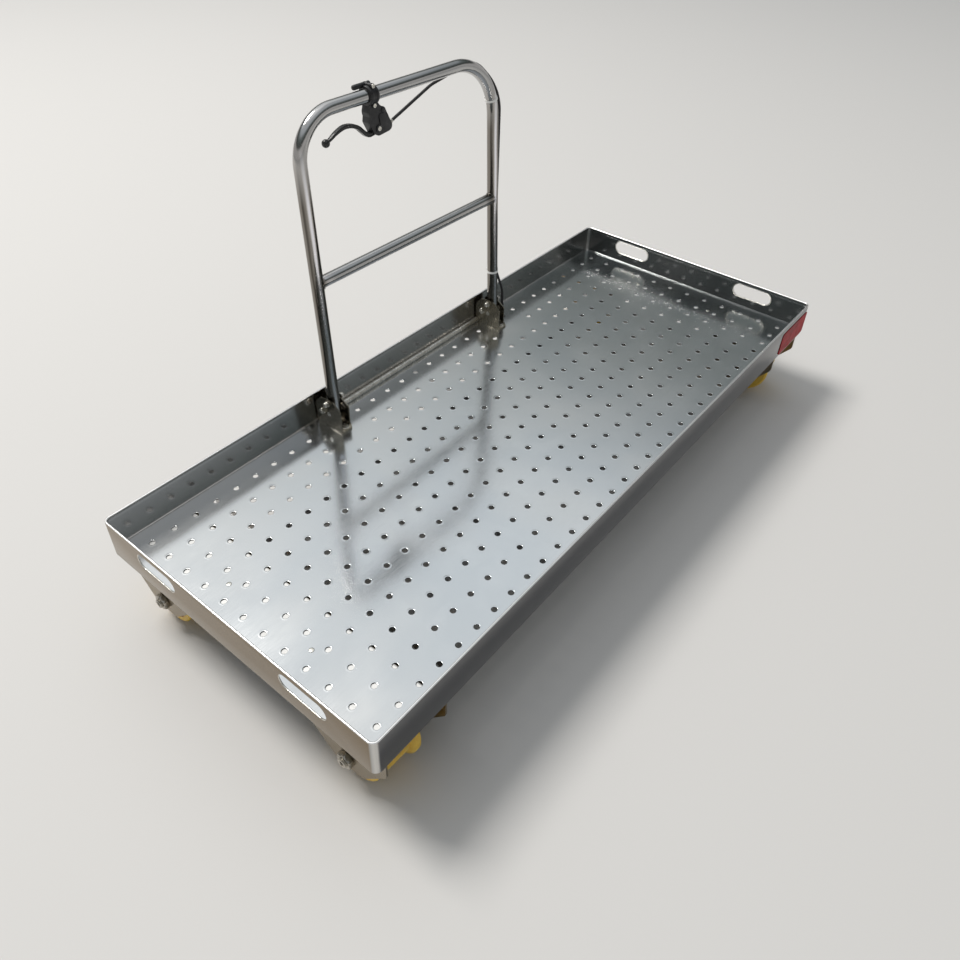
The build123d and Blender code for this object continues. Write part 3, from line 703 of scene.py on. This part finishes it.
def tray_line(inset):
    """The tray's outline at a distance inside its outer face, from the front near corner round by the far end."""
    steps = 8
    radius = max(CORNER_R - inset, 1 * MM)
    reach_x, reach_y = TRAY_X - inset - radius, TRAY_Y - inset - radius
    points = []
    for corner, (sx, sy) in enumerate(((-1, -1), (1, -1), (1, 1), (-1, 1))):
        for k in range(steps + 1):
            turn = math.pi * (1 + corner / 2) + math.pi / 2 * k / steps
            points.append(Vector((sx * reach_x + radius * math.cos(turn), sy * reach_y + radius * math.sin(turn))))
    return points


def wall_section():
    """The wall's section as (distance inward, height) pairs."""
    foot, top = WALL_FOOT, WALL_TOP
    return rounded((
        (0, foot, 2.4 * MM), (17 * MM, foot, 0.6 * MM), (17 * MM, foot + 2 * MM, 0.6 * MM),
        (2 * MM, foot + 2 * MM, 0.9 * MM), (2 * MM, top - 10 * MM, 0.0), (4.5 * MM, top - 10 * MM, 0.6 * MM),
        (4.5 * MM, top, 2.1 * MM), (0, top, 2.1 * MM),
    ), 22.5)


def walls():
    """Each wall from its own stretch of the tray's outline; the end walls take the corners."""
    section = wall_section()
    lines = {inset: tray_line(inset) for inset, _ in section}
    half = len(lines[0.0]) // 4
    spans = {
        "wall_front": range(half - 1, half + 1), "wall_rear": range(3 * half - 1, 3 * half + 1),
        "wall_far": range(half, 3 * half), "wall_near": range(3 * half, 5 * half),
    }
    for node, span in spans.items():
        rows = [
            [Vector((*lines[inset][place % (4 * half)], height)) for inset, height in section] for place in span
        ]
        seams = [[Vector((math.copysign(SEAM_X, p.x), p.y, p.z)) for p in row] for row in (rows[0], rows[-1])]
        end_wall = len(span) > 2
        rows = [seams[0], *rows, seams[1]] if end_wall else seams
        bm = bmesh.new()
        skin(bm, rows, caps=True)
        made = piece(f"{node}_bent", bm, "trolley", "wall_steel", (node,), angle=50.0)
        if end_wall:
            cut_slots(made, math.copysign(TRAY_X - WALL_T / 2, rows[1][0].x))


def slot_outline(reach=0.0):
    """A hand slot's outline in y and z."""
    points = []
    for middle, start in ((SLOT_HALF, -90), (-SLOT_HALF, 90)):
        for k in range(25):
            turn = math.radians(start + 180 * k / 24)
            points.append((middle + (SLOT_R + reach) * math.cos(turn), SLOT_Z + (SLOT_R + reach) * math.sin(turn)))
    return points


def cut_slots(wall, x):
    """Cuts the two hand slots through an end wall and rounds their edges."""
    bm = bmesh.new()
    for side in (-1, 1):
        outline = [(y + side * SLOT_Y, z) for y, z in slot_outline()]
        plate(bm, outline, -6 * MM, 6 * MM, across_x(x), edge=0)
    mesh = bpy.data.meshes.new("slot_tool")
    bmesh.ops.recalc_face_normals(bm, faces=bm.faces)
    bm.to_mesh(mesh)
    bm.free()
    tool = bpy.data.objects.new("slot_tool", mesh)
    scene.collection.objects.link(tool)
    cut = wall.modifiers.new("slots", "BOOLEAN")
    cut.object = tool
    cut.solver = "EXACT"
    bpy.context.view_layer.update()
    cut_mesh = bpy.data.meshes.new_from_object(wall.evaluated_get(bpy.context.evaluated_depsgraph_get()))
    wall.modifiers.clear()
    wall.data = cut_mesh
    cut_mesh.set_sharp_from_angle(angle=math.radians(50.0))
    bpy.data.objects.remove(tool)
    # The slots' rounded edges are in bright bolt steel, a painted highlight on the wall's cut edges.
    bm = bmesh.new()
    for side in (-1, 1):
        ring = [Vector((x - math.copysign(0.6 * MM, x), y + side * SLOT_Y, z)) for y, z in slot_outline(0.3 * MM)]
        tube(bm, ring, 1.6 * MM, steps=12, loop=True)
    end = "near" if x < 0 else "far"
    piece(f"slot_edges_{end}", bm, "trolley", "bolt_steel", angle=80.0)


def foot_seam():
    """The fillet where the deck meets the walls."""
    bm = bmesh.new()
    ring = []
    corners = tray_line(WALL_T + 0.8 * MM)
    for i, corner in enumerate(corners):
        after = corners[(i + 1) % len(corners)]
        count = max(1, round((after - corner).length / (40 * MM)))
        for k in range(count):
            point = corner.lerp(after, k / count)
            ring.append(Vector((point.x, point.y, DECK_TOP + 0.8 * MM)))
    tube(bm, ring, 2.1 * MM, steps=12, loop=True)
    piece("foot_seam", bm, "trolley", "wall_steel", angle=80.0)


# Brackets of the handle

def domed(length, radius, dome, chamfer=0.4 * MM):
    """The profile of a round head: a straight side and a domed end."""
    pairs = [(0.0, 0.0), (0.0, radius - chamfer), (chamfer, radius)]
    for k in range(7):
        turn = math.pi / 2 * k / 6
        pairs.append((length - dome + dome * math.sin(turn), radius * math.cos(turn)))
    return pairs


def square_nut(bm, place, width, thick, bore):
    """A square nut with turned corners round the place's X axis, with its bolt end in it."""
    def full(turn):
        return min(polygon_reach(turn, 4, width / 2), width * 0.66)

    def cut(turn):
        return min(polygon_reach(turn, 4, width / 2), width * 0.56)

    stations = (
        (0.0, full), (thick - 1.6 * MM, full), (thick, cut), (thick, bore + 1.3 * MM),
        (thick - 0.8 * MM, bore + 0.2 * MM), (thick - 0.8 * MM, bore),
    )
    skin(bm, [row_round(place, along, reach, 48) for along, reach in stations], caps=True)
    turned(bm, domed(thick + 1.4 * MM, bore - 0.1 * MM, 1.0 * MM), place, 24)


def brackets():
    """Two brackets, each with a base, a long and a short cheek, and their fasteners; and the rod between them."""
    back, front, high = CHEEK_BACK, CHEEK_FRONT, CHEEK_TOP
    foot = DECK_TOP + BASE_T
    rear_corners = (
        (back, foot, 1.0 * MM), (back, high - 22 * MM, 12 * MM), (back - 16 * MM, high - 4 * MM, 8 * MM),
    )
    long_cheek = rounded((
        (front, foot, 1.0 * MM), *rear_corners, (back - 43 * MM, high, 40 * MM),
        (front + 19 * MM, high - 2 * MM, 8 * MM), (front, high - 20 * MM, 8 * MM),
    ), 9)
    short_front = front + 13 * MM
    short_cheek = rounded((
        (short_front, foot, 1.0 * MM), *rear_corners, (back - 25 * MM, high - 2 * MM, 10 * MM),
        (short_front, DECK_TOP + 49.5 * MM, 9 * MM),
    ), 9)
    cheeks, bases, bolts, welds = bmesh.new(), bmesh.new(), bmesh.new(), bmesh.new()
    for leg_x in LEG_XS:
        for x0, outline in ((leg_x - CHEEK_OUT, long_cheek), (leg_x + CHEEK_IN, short_cheek)):
            plate(cheeks, outline, 0.0, CHEEK_T, across_x(x0), edge=0.7 * MM, steps=3)
        base = rounded((
            (leg_x - CHEEK_OUT, front - 2 * MM, 2 * MM), (leg_x + CHEEK_OUT / 2, front - 2 * MM, 4 * MM),
            (leg_x + CHEEK_OUT, short_front - 2 * MM, 4 * MM), (leg_x + CHEEK_OUT, back, 2 * MM),
            (leg_x - CHEEK_OUT, back, 2 * MM),
        ), 15)
        plate(bases, base, 0.0, BASE_T, Matrix.Translation((0, 0, DECK_TOP)), edge=0.7 * MM, steps=3)
        for x, y0 in ((leg_x - CHEEK_IN, front + 4 * MM), (leg_x + CHEEK_IN, short_front + 4 * MM)):
            bead(welds, line((x, y0, foot + 0.4 * MM), (x, back - 3 * MM, foot + 0.4 * MM)), 1.5 * MM)
        for side in (-1, 1):
            x = leg_x + side * CHEEK_OUT
            turn = Matrix.Identity(4) if side > 0 else Matrix.Rotation(math.pi, 4, "Z")
            nut = Matrix.Translation((x, NUT_Y, DECK_TOP + NUT_RISE)) @ turn @ Matrix.Rotation(math.pi / 4, 4, "X")
            square_nut(bolts, nut, 14 * MM, 6 * MM, 4 * MM)
            plunger = Matrix.Translation((x, HINGE.y + PLUNGER_BACK, DECK_TOP + PLUNGER_RISE)) @ turn
            turned(bolts, domed(10 * MM, 6 * MM, 3 * MM), plunger, 36)
            turned(bolts, domed(2.4 * MM, 7.6 * MM, 0.6 * MM), plunger, 36)
            pin = Matrix.Translation((x - side * 0.3 * MM, HINGE.y, HINGE.z)) @ turn
            turned(bolts, domed(0.5 * MM, 6.2 * MM, 0.3 * MM, 0.1 * MM), pin, 36)
        bolt = spindle((leg_x, front + 10 * MM, foot), "Z")
        turned(bolts, domed(1.6 * MM, 9.0 * MM, 0.5 * MM), bolt, 36)
        hexagon(bolts, bolt, 13 * MM, 1.4 * MM, 6 * MM)
    piece("cheeks_rounded", cheeks, "trolley", "bracket_steel", ("bracket_cheeks",), angle=40.0)
    piece("bases_rounded", bases, "trolley", "bracket_steel", ("bracket_bases",), angle=40.0)
    piece("bracket_welds", welds, "trolley", "bracket_steel", angle=80.0)
    piece("bracket_fasteners", bolts, "trolley", "bolt_steel", ("bracket_bolts",), angle=32.0)
    rod = bmesh.new()
    start, end, chamfer = LEG_XS[0] + CHEEK_OUT, LEG_XS[1] - CHEEK_OUT, 0.8 * MM
    profile = (
        (start, 0.0), (start, FOOT_ROD_R - chamfer), (start + chamfer, FOOT_ROD_R),
        (end - chamfer, FOOT_ROD_R), (end, FOOT_ROD_R - chamfer), (end, 0.0),
    )
    turned(rod, profile, Matrix.Translation((0, TRAY_Y - WALL_T - FOOT_ROD_GAP, DECK_TOP + FOOT_ROD_GAP)))
    piece("foot_rod_turned", rod, "trolley", "bolt_steel", ("foot_rod",))


# Wheels, bearings and axles: sections as (distance from the middle of the trolley, radius, rounding), in mm

WHEEL_CORNERS = (
    (697, 20, 0.3), (697, 26, 1.0), (709, 29, 2.0), (709, 45, 2.5), (697, 48, 1.2), (697, 70, 1.6), (701, 74, 1.6),
    (710, 74, 2.4), (715, 68, 2.4), (718, 62.5, 2.6), (788, 61, 1.0), (791, 58, 1.2), (791, 48, 1.2),
    (779, 45, 2.5), (779, 29, 2.0), (791, 26, 1.0), (791, 20, 0.3),
)
SLEEVE_CORNERS = (
    (695, 10.05, 0.0), (695, 12.0, 0.3), (695.9, 12.3, 0.2), (695.9, 17.0, 0.2), (695, 17.3, 0.3), (695, 20, 0.8),
    (793, 20, 0.8), (793, 17.3, 0.3), (792.1, 17.0, 0.2), (792.1, 12.3, 0.2), (793, 12.0, 0.3), (793, 10.05, 0.0),
)


def wheel_place(end, side):
    """The place of a wheel's section: along its axle, away from the middle of the trolley."""
    return Matrix.Translation((0, side * AXLE_Y, AXLE_Z)) @ Matrix.Diagonal((end, 1, 1, 1))


def rolling():
    """The four wheels, each with its bearing sleeve."""
    for end_name, end in (("near", -1), ("far", 1)):
        for side_name, side in (("front", -1), ("rear", 1)):
            name = f"{end_name}_{side_name}"
            place = wheel_place(end, side)
            bm = bmesh.new()
            turned(bm, rounded(millimetres(WHEEL_CORNERS), 18), place, 112, loop=True)
            piece(f"wheel_{name}_turned", bm, f"wheel_{name}", "wheel_nylon", (f"wheel_{name}",))
            bm = bmesh.new()
            turned(bm, rounded(millimetres(SLEEVE_CORNERS), 30), place, 64, loop=True)
            piece(f"sleeve_{name}_turned", bm, f"wheel_{name}", "sleeve_steel", (f"sleeve_{name}",))


def axles():
    """Each axle with its head, its nut, two turns of thread, a drilled end and a spacer at each hanger."""
    bm = bmesh.new()
    for end in (-1, 1):
        for side in (-1, 1):
            place = wheel_place(end, side)
            for low in (HANGER_IN - 10 * MM, HANGER_OUT + HANGER_T):
                hexagon(bm, place, 30 * MM, low, low + 10 * MM, 1.4 * MM)
            shaft = [
                (650, 0), (650, 10), (810.6, 10), (811.2, 10), (811.9, 9.2), (812.7, 10), (813.4, 9.2),
                (814.1, 9.6), (815, 8.7), (815, 4.9), (814.4, 4.3), (806, 4.2), (804, 0),
            ]
            turned(bm, millimetres(shaft), place, 40)
            for low, high in ((660, 694), (794, 797)):
                ring = ((low, 10, 0), (low, 15, 0.7), (high, 15, 0.7), (high, 10, 0))
                turned(bm, rounded(millimetres(ring), 30), place, 40, loop=True)
    piece("axles_turned", bm, "trolley", "axle_steel", ("axles",), angle=32.0)


def hangers():
    """The outer and inner hanger plates, from (y, z, rounding) corners in mm, and the frame's welds."""
    kinds = (
        ("hangers_outer", HANGER_OUT, ((150, 167, 1), (335, 167, 0), (335, 162, 0), (348, 162, 3))),
        ("hangers_inner", HANGER_IN, ((150, 159, 1), (348, 159, 3))),
    )
    welds = bmesh.new()
    for node, x, top in kinds:
        bm = bmesh.new()
        lower = ((348, 119, 14), (288, 45, 16), (226, 45, 16), (180, 89, 20), (150, 118, 14))
        for end in (-1, 1):
            for side in (-1, 1):
                outline = rounded([(side * y * MM, z * MM, r * MM) for y, z, r in (*top, *lower)], 10)
                low, high = sorted((end * x, end * (x + HANGER_T)))
                plate(bm, outline, low, high, across_x(), edge=0.6 * MM)
                z = top[0][1] * MM
                weld_x = end * (x + (0 if node == "hangers_outer" else HANGER_T))
                bead(welds, line((weld_x, side * 154 * MM, z), (weld_x, side * 333 * MM, z), 0.9 * MM), 1.9 * MM)
        piece(f"{node}_rounded", bm, "trolley", "hanger_steel", (node,), angle=40.0)
    for column in (-12, -6, 0, 6, 12):
        for edge in (-MEMBER_HALF, MEMBER_HALF):
            x = HOLE_CENTRE[0] + HOLE_PITCH[0] * column + edge
            for rail in (-RAIL_Y, RAIL_Y):
                for face in (-RAIL_HALF, RAIL_HALF):
                    y = HOLE_CENTRE[1] + rail + face
                    bead(welds, line((x, y, RAIL_LOW + 1 * MM), (x, y, 169 * MM), 0.9 * MM), 1.5 * MM)
    piece("frame_welds", welds, "trolley", "frame_steel", angle=80.0)


# Brake lever

LEVER = HANDLE @ Matrix.Translation((CLAMP_X, 0, TOP_S))
FLIP = Matrix.Rotation(math.pi, 4, "Z")
BODY_CORNERS = (  # (x, z, rounding) from the middle of the clamp, in mm
    (-10, -15, 1), (12, -15, 1), (17, -22, 4), (29, -27, 5), (34, -38, 5), (48, -67, 5), (41, -75, 5), (7, -78.5, 7),
    (-4, -71, 5), (-15, -49, 6), (-13, -38, 4), (-15, -30, 4),
)


def lever():
    """The clamp, the housing with its cap, pivot and boot, and their screws."""
    ring, knobs, body = bmesh.new(), bmesh.new(), bmesh.new()
    section = ((-11, 13.5, 0), (-11, 18.2, 0.8), (-7.5, 18.9, 0.8), (-5, 18.9, 0.5), (-4.4, 18.0, 0.2),
               (4.4, 18.0, 0.2), (5, 18.9, 0.5), (7.5, 18.9, 0.8), (11, 18.2, 0.8), (11, 13.5, 0))
    turned(ring, rounded(millimetres(section), 30), LEVER, 64, loop=True)
    for rise in (-18.0, 18.0):
        boss = LEVER @ spindle((0, -12 * MM, rise * MM), "Y")
        turned(ring, millimetres(((0, 0), (0, 4.4), (0.6, 5), (11.2, 5), (11.2, 4.4), (12.2, 4.4), (12.2, 5),
                                  (23.4, 5), (24, 4.4), (24, 0))), boss, 32)
        screw_head(knobs, boss @ FLIP, 4.1 * MM, 2.2 * MM)
    perch = LEVER @ spindle((-34 * MM, 9 * MM, 18 * MM), "X")
    turned(ring, millimetres(((0, 0), (0.3, 2.6), (1.4, 4.2), (3.2, 5), (33, 5), (34, 4.2), (36, 4.2), (37, 5),
                              (44.2, 5), (45, 4.2), (45, 0))), perch, 32)
    piece("clamp_ring", ring, "handle", "clamp_black", ("lever_clamp",), angle=35.0)
    outline = rounded(millimetres(BODY_CORNERS), 12)
    plate(body, outline, -10 * MM, 10 * MM, LEVER @ across_y(), edge=2.2 * MM, steps=4)
    cap = rounded(millimetres(((10, -36, 5), (27, -38, 5), (39, -63, 5), (33, -69, 5), (16, -70, 6))), 12)
    plate(body, cap, -11.6 * MM, 0, LEVER @ across_y(), edge=1.2 * MM, steps=3)
    for side in (-1, 1):
        hub = LEVER @ spindle((9 * MM, side * 9.6 * MM, -64 * MM), "Y")
        if side < 0:
            hub = hub @ FLIP
        turned(body, domed(2.6 * MM, 7.6 * MM, 0.8 * MM), hub, 40)
        screw_head(knobs, hub @ Matrix.Translation((2.4 * MM, 0, 0)), 4.6 * MM, 1.2 * MM)
    knob = LEVER @ spindle((24 * MM, -10 * MM, -32 * MM), "Y") @ FLIP
    turned(body, domed(2.0 * MM, 5.2 * MM, 1.0 * MM), knob, 32)
    start, end = (LEVER @ Vector((x * MM, 0, z * MM)) for x, z in ((40, -68), (50, -64.8)))
    tube(body, line(start, end, 1 * MM), 6.0 * MM, steps=28)
    piece("lever_housing", body, "handle", "lever_black", ("lever_body",), angle=35.0)
    piece("lever_screws", knobs, "handle", "bolt_steel", angle=30.0)


def screw_head(bm, place, radius, height):
    """A socket screw's head, its hexagon socket sunk in it."""
    stations = (
        (0, radius), (height - 0.4 * MM, radius), (height, radius - 0.5 * MM),
        (height, lambda turn: polygon_reach(turn, 6, radius * 0.52)),
        (height - 1.0 * MM, lambda turn: polygon_reach(turn, 6, radius * 0.48)),
    )
    skin(bm, [row_round(place, along, reach, 36) for along, reach in stations], caps=True)


def smooth(points, count):
    """Points along a smooth line through the given ones."""
    made = []
    last = len(points) - 1
    for i in range(last):
        a, b, c, d = points[max(i - 1, 0)], points[i], points[i + 1], points[min(i + 2, last)]
        for k in range(count):
            t = k / count
            made.append(0.5 * (2 * b + (c - a) * t + (2 * a - 5 * b + 4 * c - d) * t ** 2
                               + (3 * b - a - 3 * c + d) * t ** 3))
    return made + [points[last]]


def lever_blade():
    """The blade: a bar that thins toward its ball, with a channel along its front face."""
    bm = bmesh.new()
    stations = (  # (x, z, width, thickness, depth of the channel) from the middle of the clamp, in mm
        (4, -70.5, 12.4, 9.0, 1.3), (-6, -72.6, 12.6, 9.0, 1.3), (-16, -71.6, 12.6, 8.6, 1.3),
        (-27, -63, 12.6, 8.2, 1.3), (-40, -51.5, 12.4, 8.0, 1.1), (-57, -44.5, 12.0, 7.8, 0.5),
        (-76, -43, 11.2, 7.4, 0.0), (-96, -49, 10.0, 6.6, 0.0), (-110, -56, 8.6, 5.8, 0.0),
        (-119, -60, 7.0, 5.2, 0.0),
    )
    points = smooth([Vector((station[0], 0, station[1])) * MM for station in stations], 10)
    sizes = smooth([Vector(station[2:]) * MM for station in stations], 10)
    rows = []
    for i, point in enumerate(points):
        ahead = (points[min(i + 1, len(points) - 1)] - points[max(i - 1, 0)]).normalized()
        up = Y_AXIS.cross(ahead).normalized()
        width, thick, groove = sizes[i]
        a, b = width / 2, thick / 2
        channel = [(-a, 0.42 * b), (-a + groove, 0.26 * b), (-a + groove, -0.26 * b), (-a, -0.42 * b)]
        ring = rounded(((a, -b, 2 * MM), (a, b, 2 * MM), (-a, b, 2 * MM), (-a, -b, 2 * MM)), 22.5)
        ring[15:15] = channel
        rows.append([LEVER @ (point + Y_AXIS * y + up * z) for y, z in ring])
    skin(bm, rows, caps=True)
    ball = [(-8.0 * math.cos(math.pi * k / 20), 8.0 * math.sin(math.pi * k / 20)) for k in range(21)]
    turned(bm, millimetres(ball), LEVER @ Matrix.Translation((-122 * MM, 0, -61 * MM)), 40)
    piece("blade_smooth", bm, "handle", "blade_black", ("lever_blade",), angle=50.0)


def cable_end():
    """The adjuster where the cable leaves the lever: a knurled barrel, a lock ring and an end cap."""
    bm = bmesh.new()
    ahead = (CABLE_TURN - CABLE_START).normalized()
    place = HANDLE @ Matrix.Translation(CABLE_START) @ ahead.to_track_quat("X", "Z").to_matrix().to_4x4()
    steps = 60
    rows = []
    for along, radius, knurl in millimetres((
        (-1, 2.6, 0), (1.2, 2.6, 0), (1.2, 4.1, 0), (1.6, 4.2, 0.25), (4.6, 4.2, 0.25), (5, 4.1, 0), (5, 3.0, 0),
        (5.7, 3.0, 0), (5.7, 4.0, 0), (6, 4.2, 0.25), (7.6, 4.2, 0.25), (7.8, 4.0, 0), (7.8, 3.5, 0),
        (10.6, 3.6, 0), (11, 3.3, 0),
    )):
        def reach(turn):
            return radius - knurl * (round(steps * turn / math.tau) % 3 == 0)
        rows.append(row_round(place, along, reach, steps))
    skin(bm, rows, caps=True)
    piece("cable_adjuster", bm, "handle", "ferrule_black", ("ferrule",), angle=35.0)


def small_parts():
    """Heads of the cable ties, rivets, grommet and marker."""
    ties = bmesh.new()
    centre = Vector((LEG_X - FAR_BEND, 0, TOP_S - FAR_BEND))
    out = Vector((math.cos(TIE_TURN), 0, math.sin(TIE_TURN)))
    spots = (
        (centre + out * FAR_BEND, out),
        (Vector((LEG_X, 0, TIE_S)), X_AXIS),
    )
    for spot, away in spots:
        place = HANDLE @ placed(spot, away, Y_AXIS, away.cross(Y_AXIS))
        head = rounded(millimetres(((-3, 14.9, 0.6), (3, 14.9, 0.6), (3, 18.4, 1), (-3, 18.4, 1))), 30)
        plate(ties, head, -3 * MM, 3 * MM, place, edge=0.5 * MM)
        tail = rounded(millimetres(((-1, 18, 0), (0.3, 18, 0), (0.3, 21.0, 0.4), (-1, 21.0, 0.4))), 30)
        plate(ties, tail, -1.8 * MM, 1.8 * MM, place, edge=0.2 * MM)
    piece("tie_heads", ties, "handle", "tie_white", angle=40.0)
    rivets = bmesh.new()
    for x in (-RIVET_X, RIVET_X):
        for y in (-RIVET_Y, RIVET_Y):
            turned(rivets, domed(1.2 * MM, 5 * MM, 0.9 * MM, 0.1 * MM), spindle((x, y, DECK_TOP), "Z"), 32)
    piece("rivets_domed", rivets, "trolley", "bolt_steel", ("deck_rivets",), angle=60.0)
    bm = bmesh.new()
    rim = ((-4, 3.4, 0.3), (-4, 9, 0.9), (-2.2, 10, 0.8), (-2, 7, 0.2), (0, 7, 0.2), (0.2, 10, 0.8), (2, 9, 0.9),
           (2, 3.4, 0.3))
    turned(bm, rounded(millimetres(rim), 30), spindle((GROMMET_X, HINGE.y, DECK_TOP), "Z"), 40, loop=True)
    piece("grommet_turned", bm, "trolley", "grommet_black", ("grommet",), angle=40.0)
    bm = bmesh.new()
    (x0, x1), (z0, z1) = MARKER_X, MARKER_Z
    face = rounded([(x, z, MARKER_R) for x, z in ((x0, z0), (x1, z0), (x1, z1), (x0, z1))], 10)
    plate(bm, face, -TRAY_Y - MARKER_T, -TRAY_Y, across_y(), edge=0.5 * MM, steps=3)
    piece("marker_plate", bm, "trolley", "marker_red", ("marker",), angle=40.0)


def soften(node, width):
    """Small rounded edges on a CAD node that stays."""
    kept = frame["nodes"][node]
    weld = kept.modifiers.new("joined", "WELD")
    weld.merge_threshold = 0.02 * MM
    edge = kept.modifiers.new("edges", "BEVEL")
    edge.width = width
    edge.segments = 2
    edge.limit_method = "ANGLE"
    edge.angle_limit = math.radians(35.0)
    edge.harden_normals = True


walls()
foot_seam()
brackets()
rolling()
axles()
hangers()
lever()
lever_blade()
cable_end()
small_parts()
for node, width in (
    ("rails", 1.2 * MM), ("cross_members", 0.6 * MM), ("end_webs", 0.5 * MM), ("brake_arms", 0.6 * MM),
    ("brake_shoes", 1.5 * MM), ("cable_stop", 0.6 * MM), ("hinge_shaft", 0.3 * MM),
):
    soften(node, width)
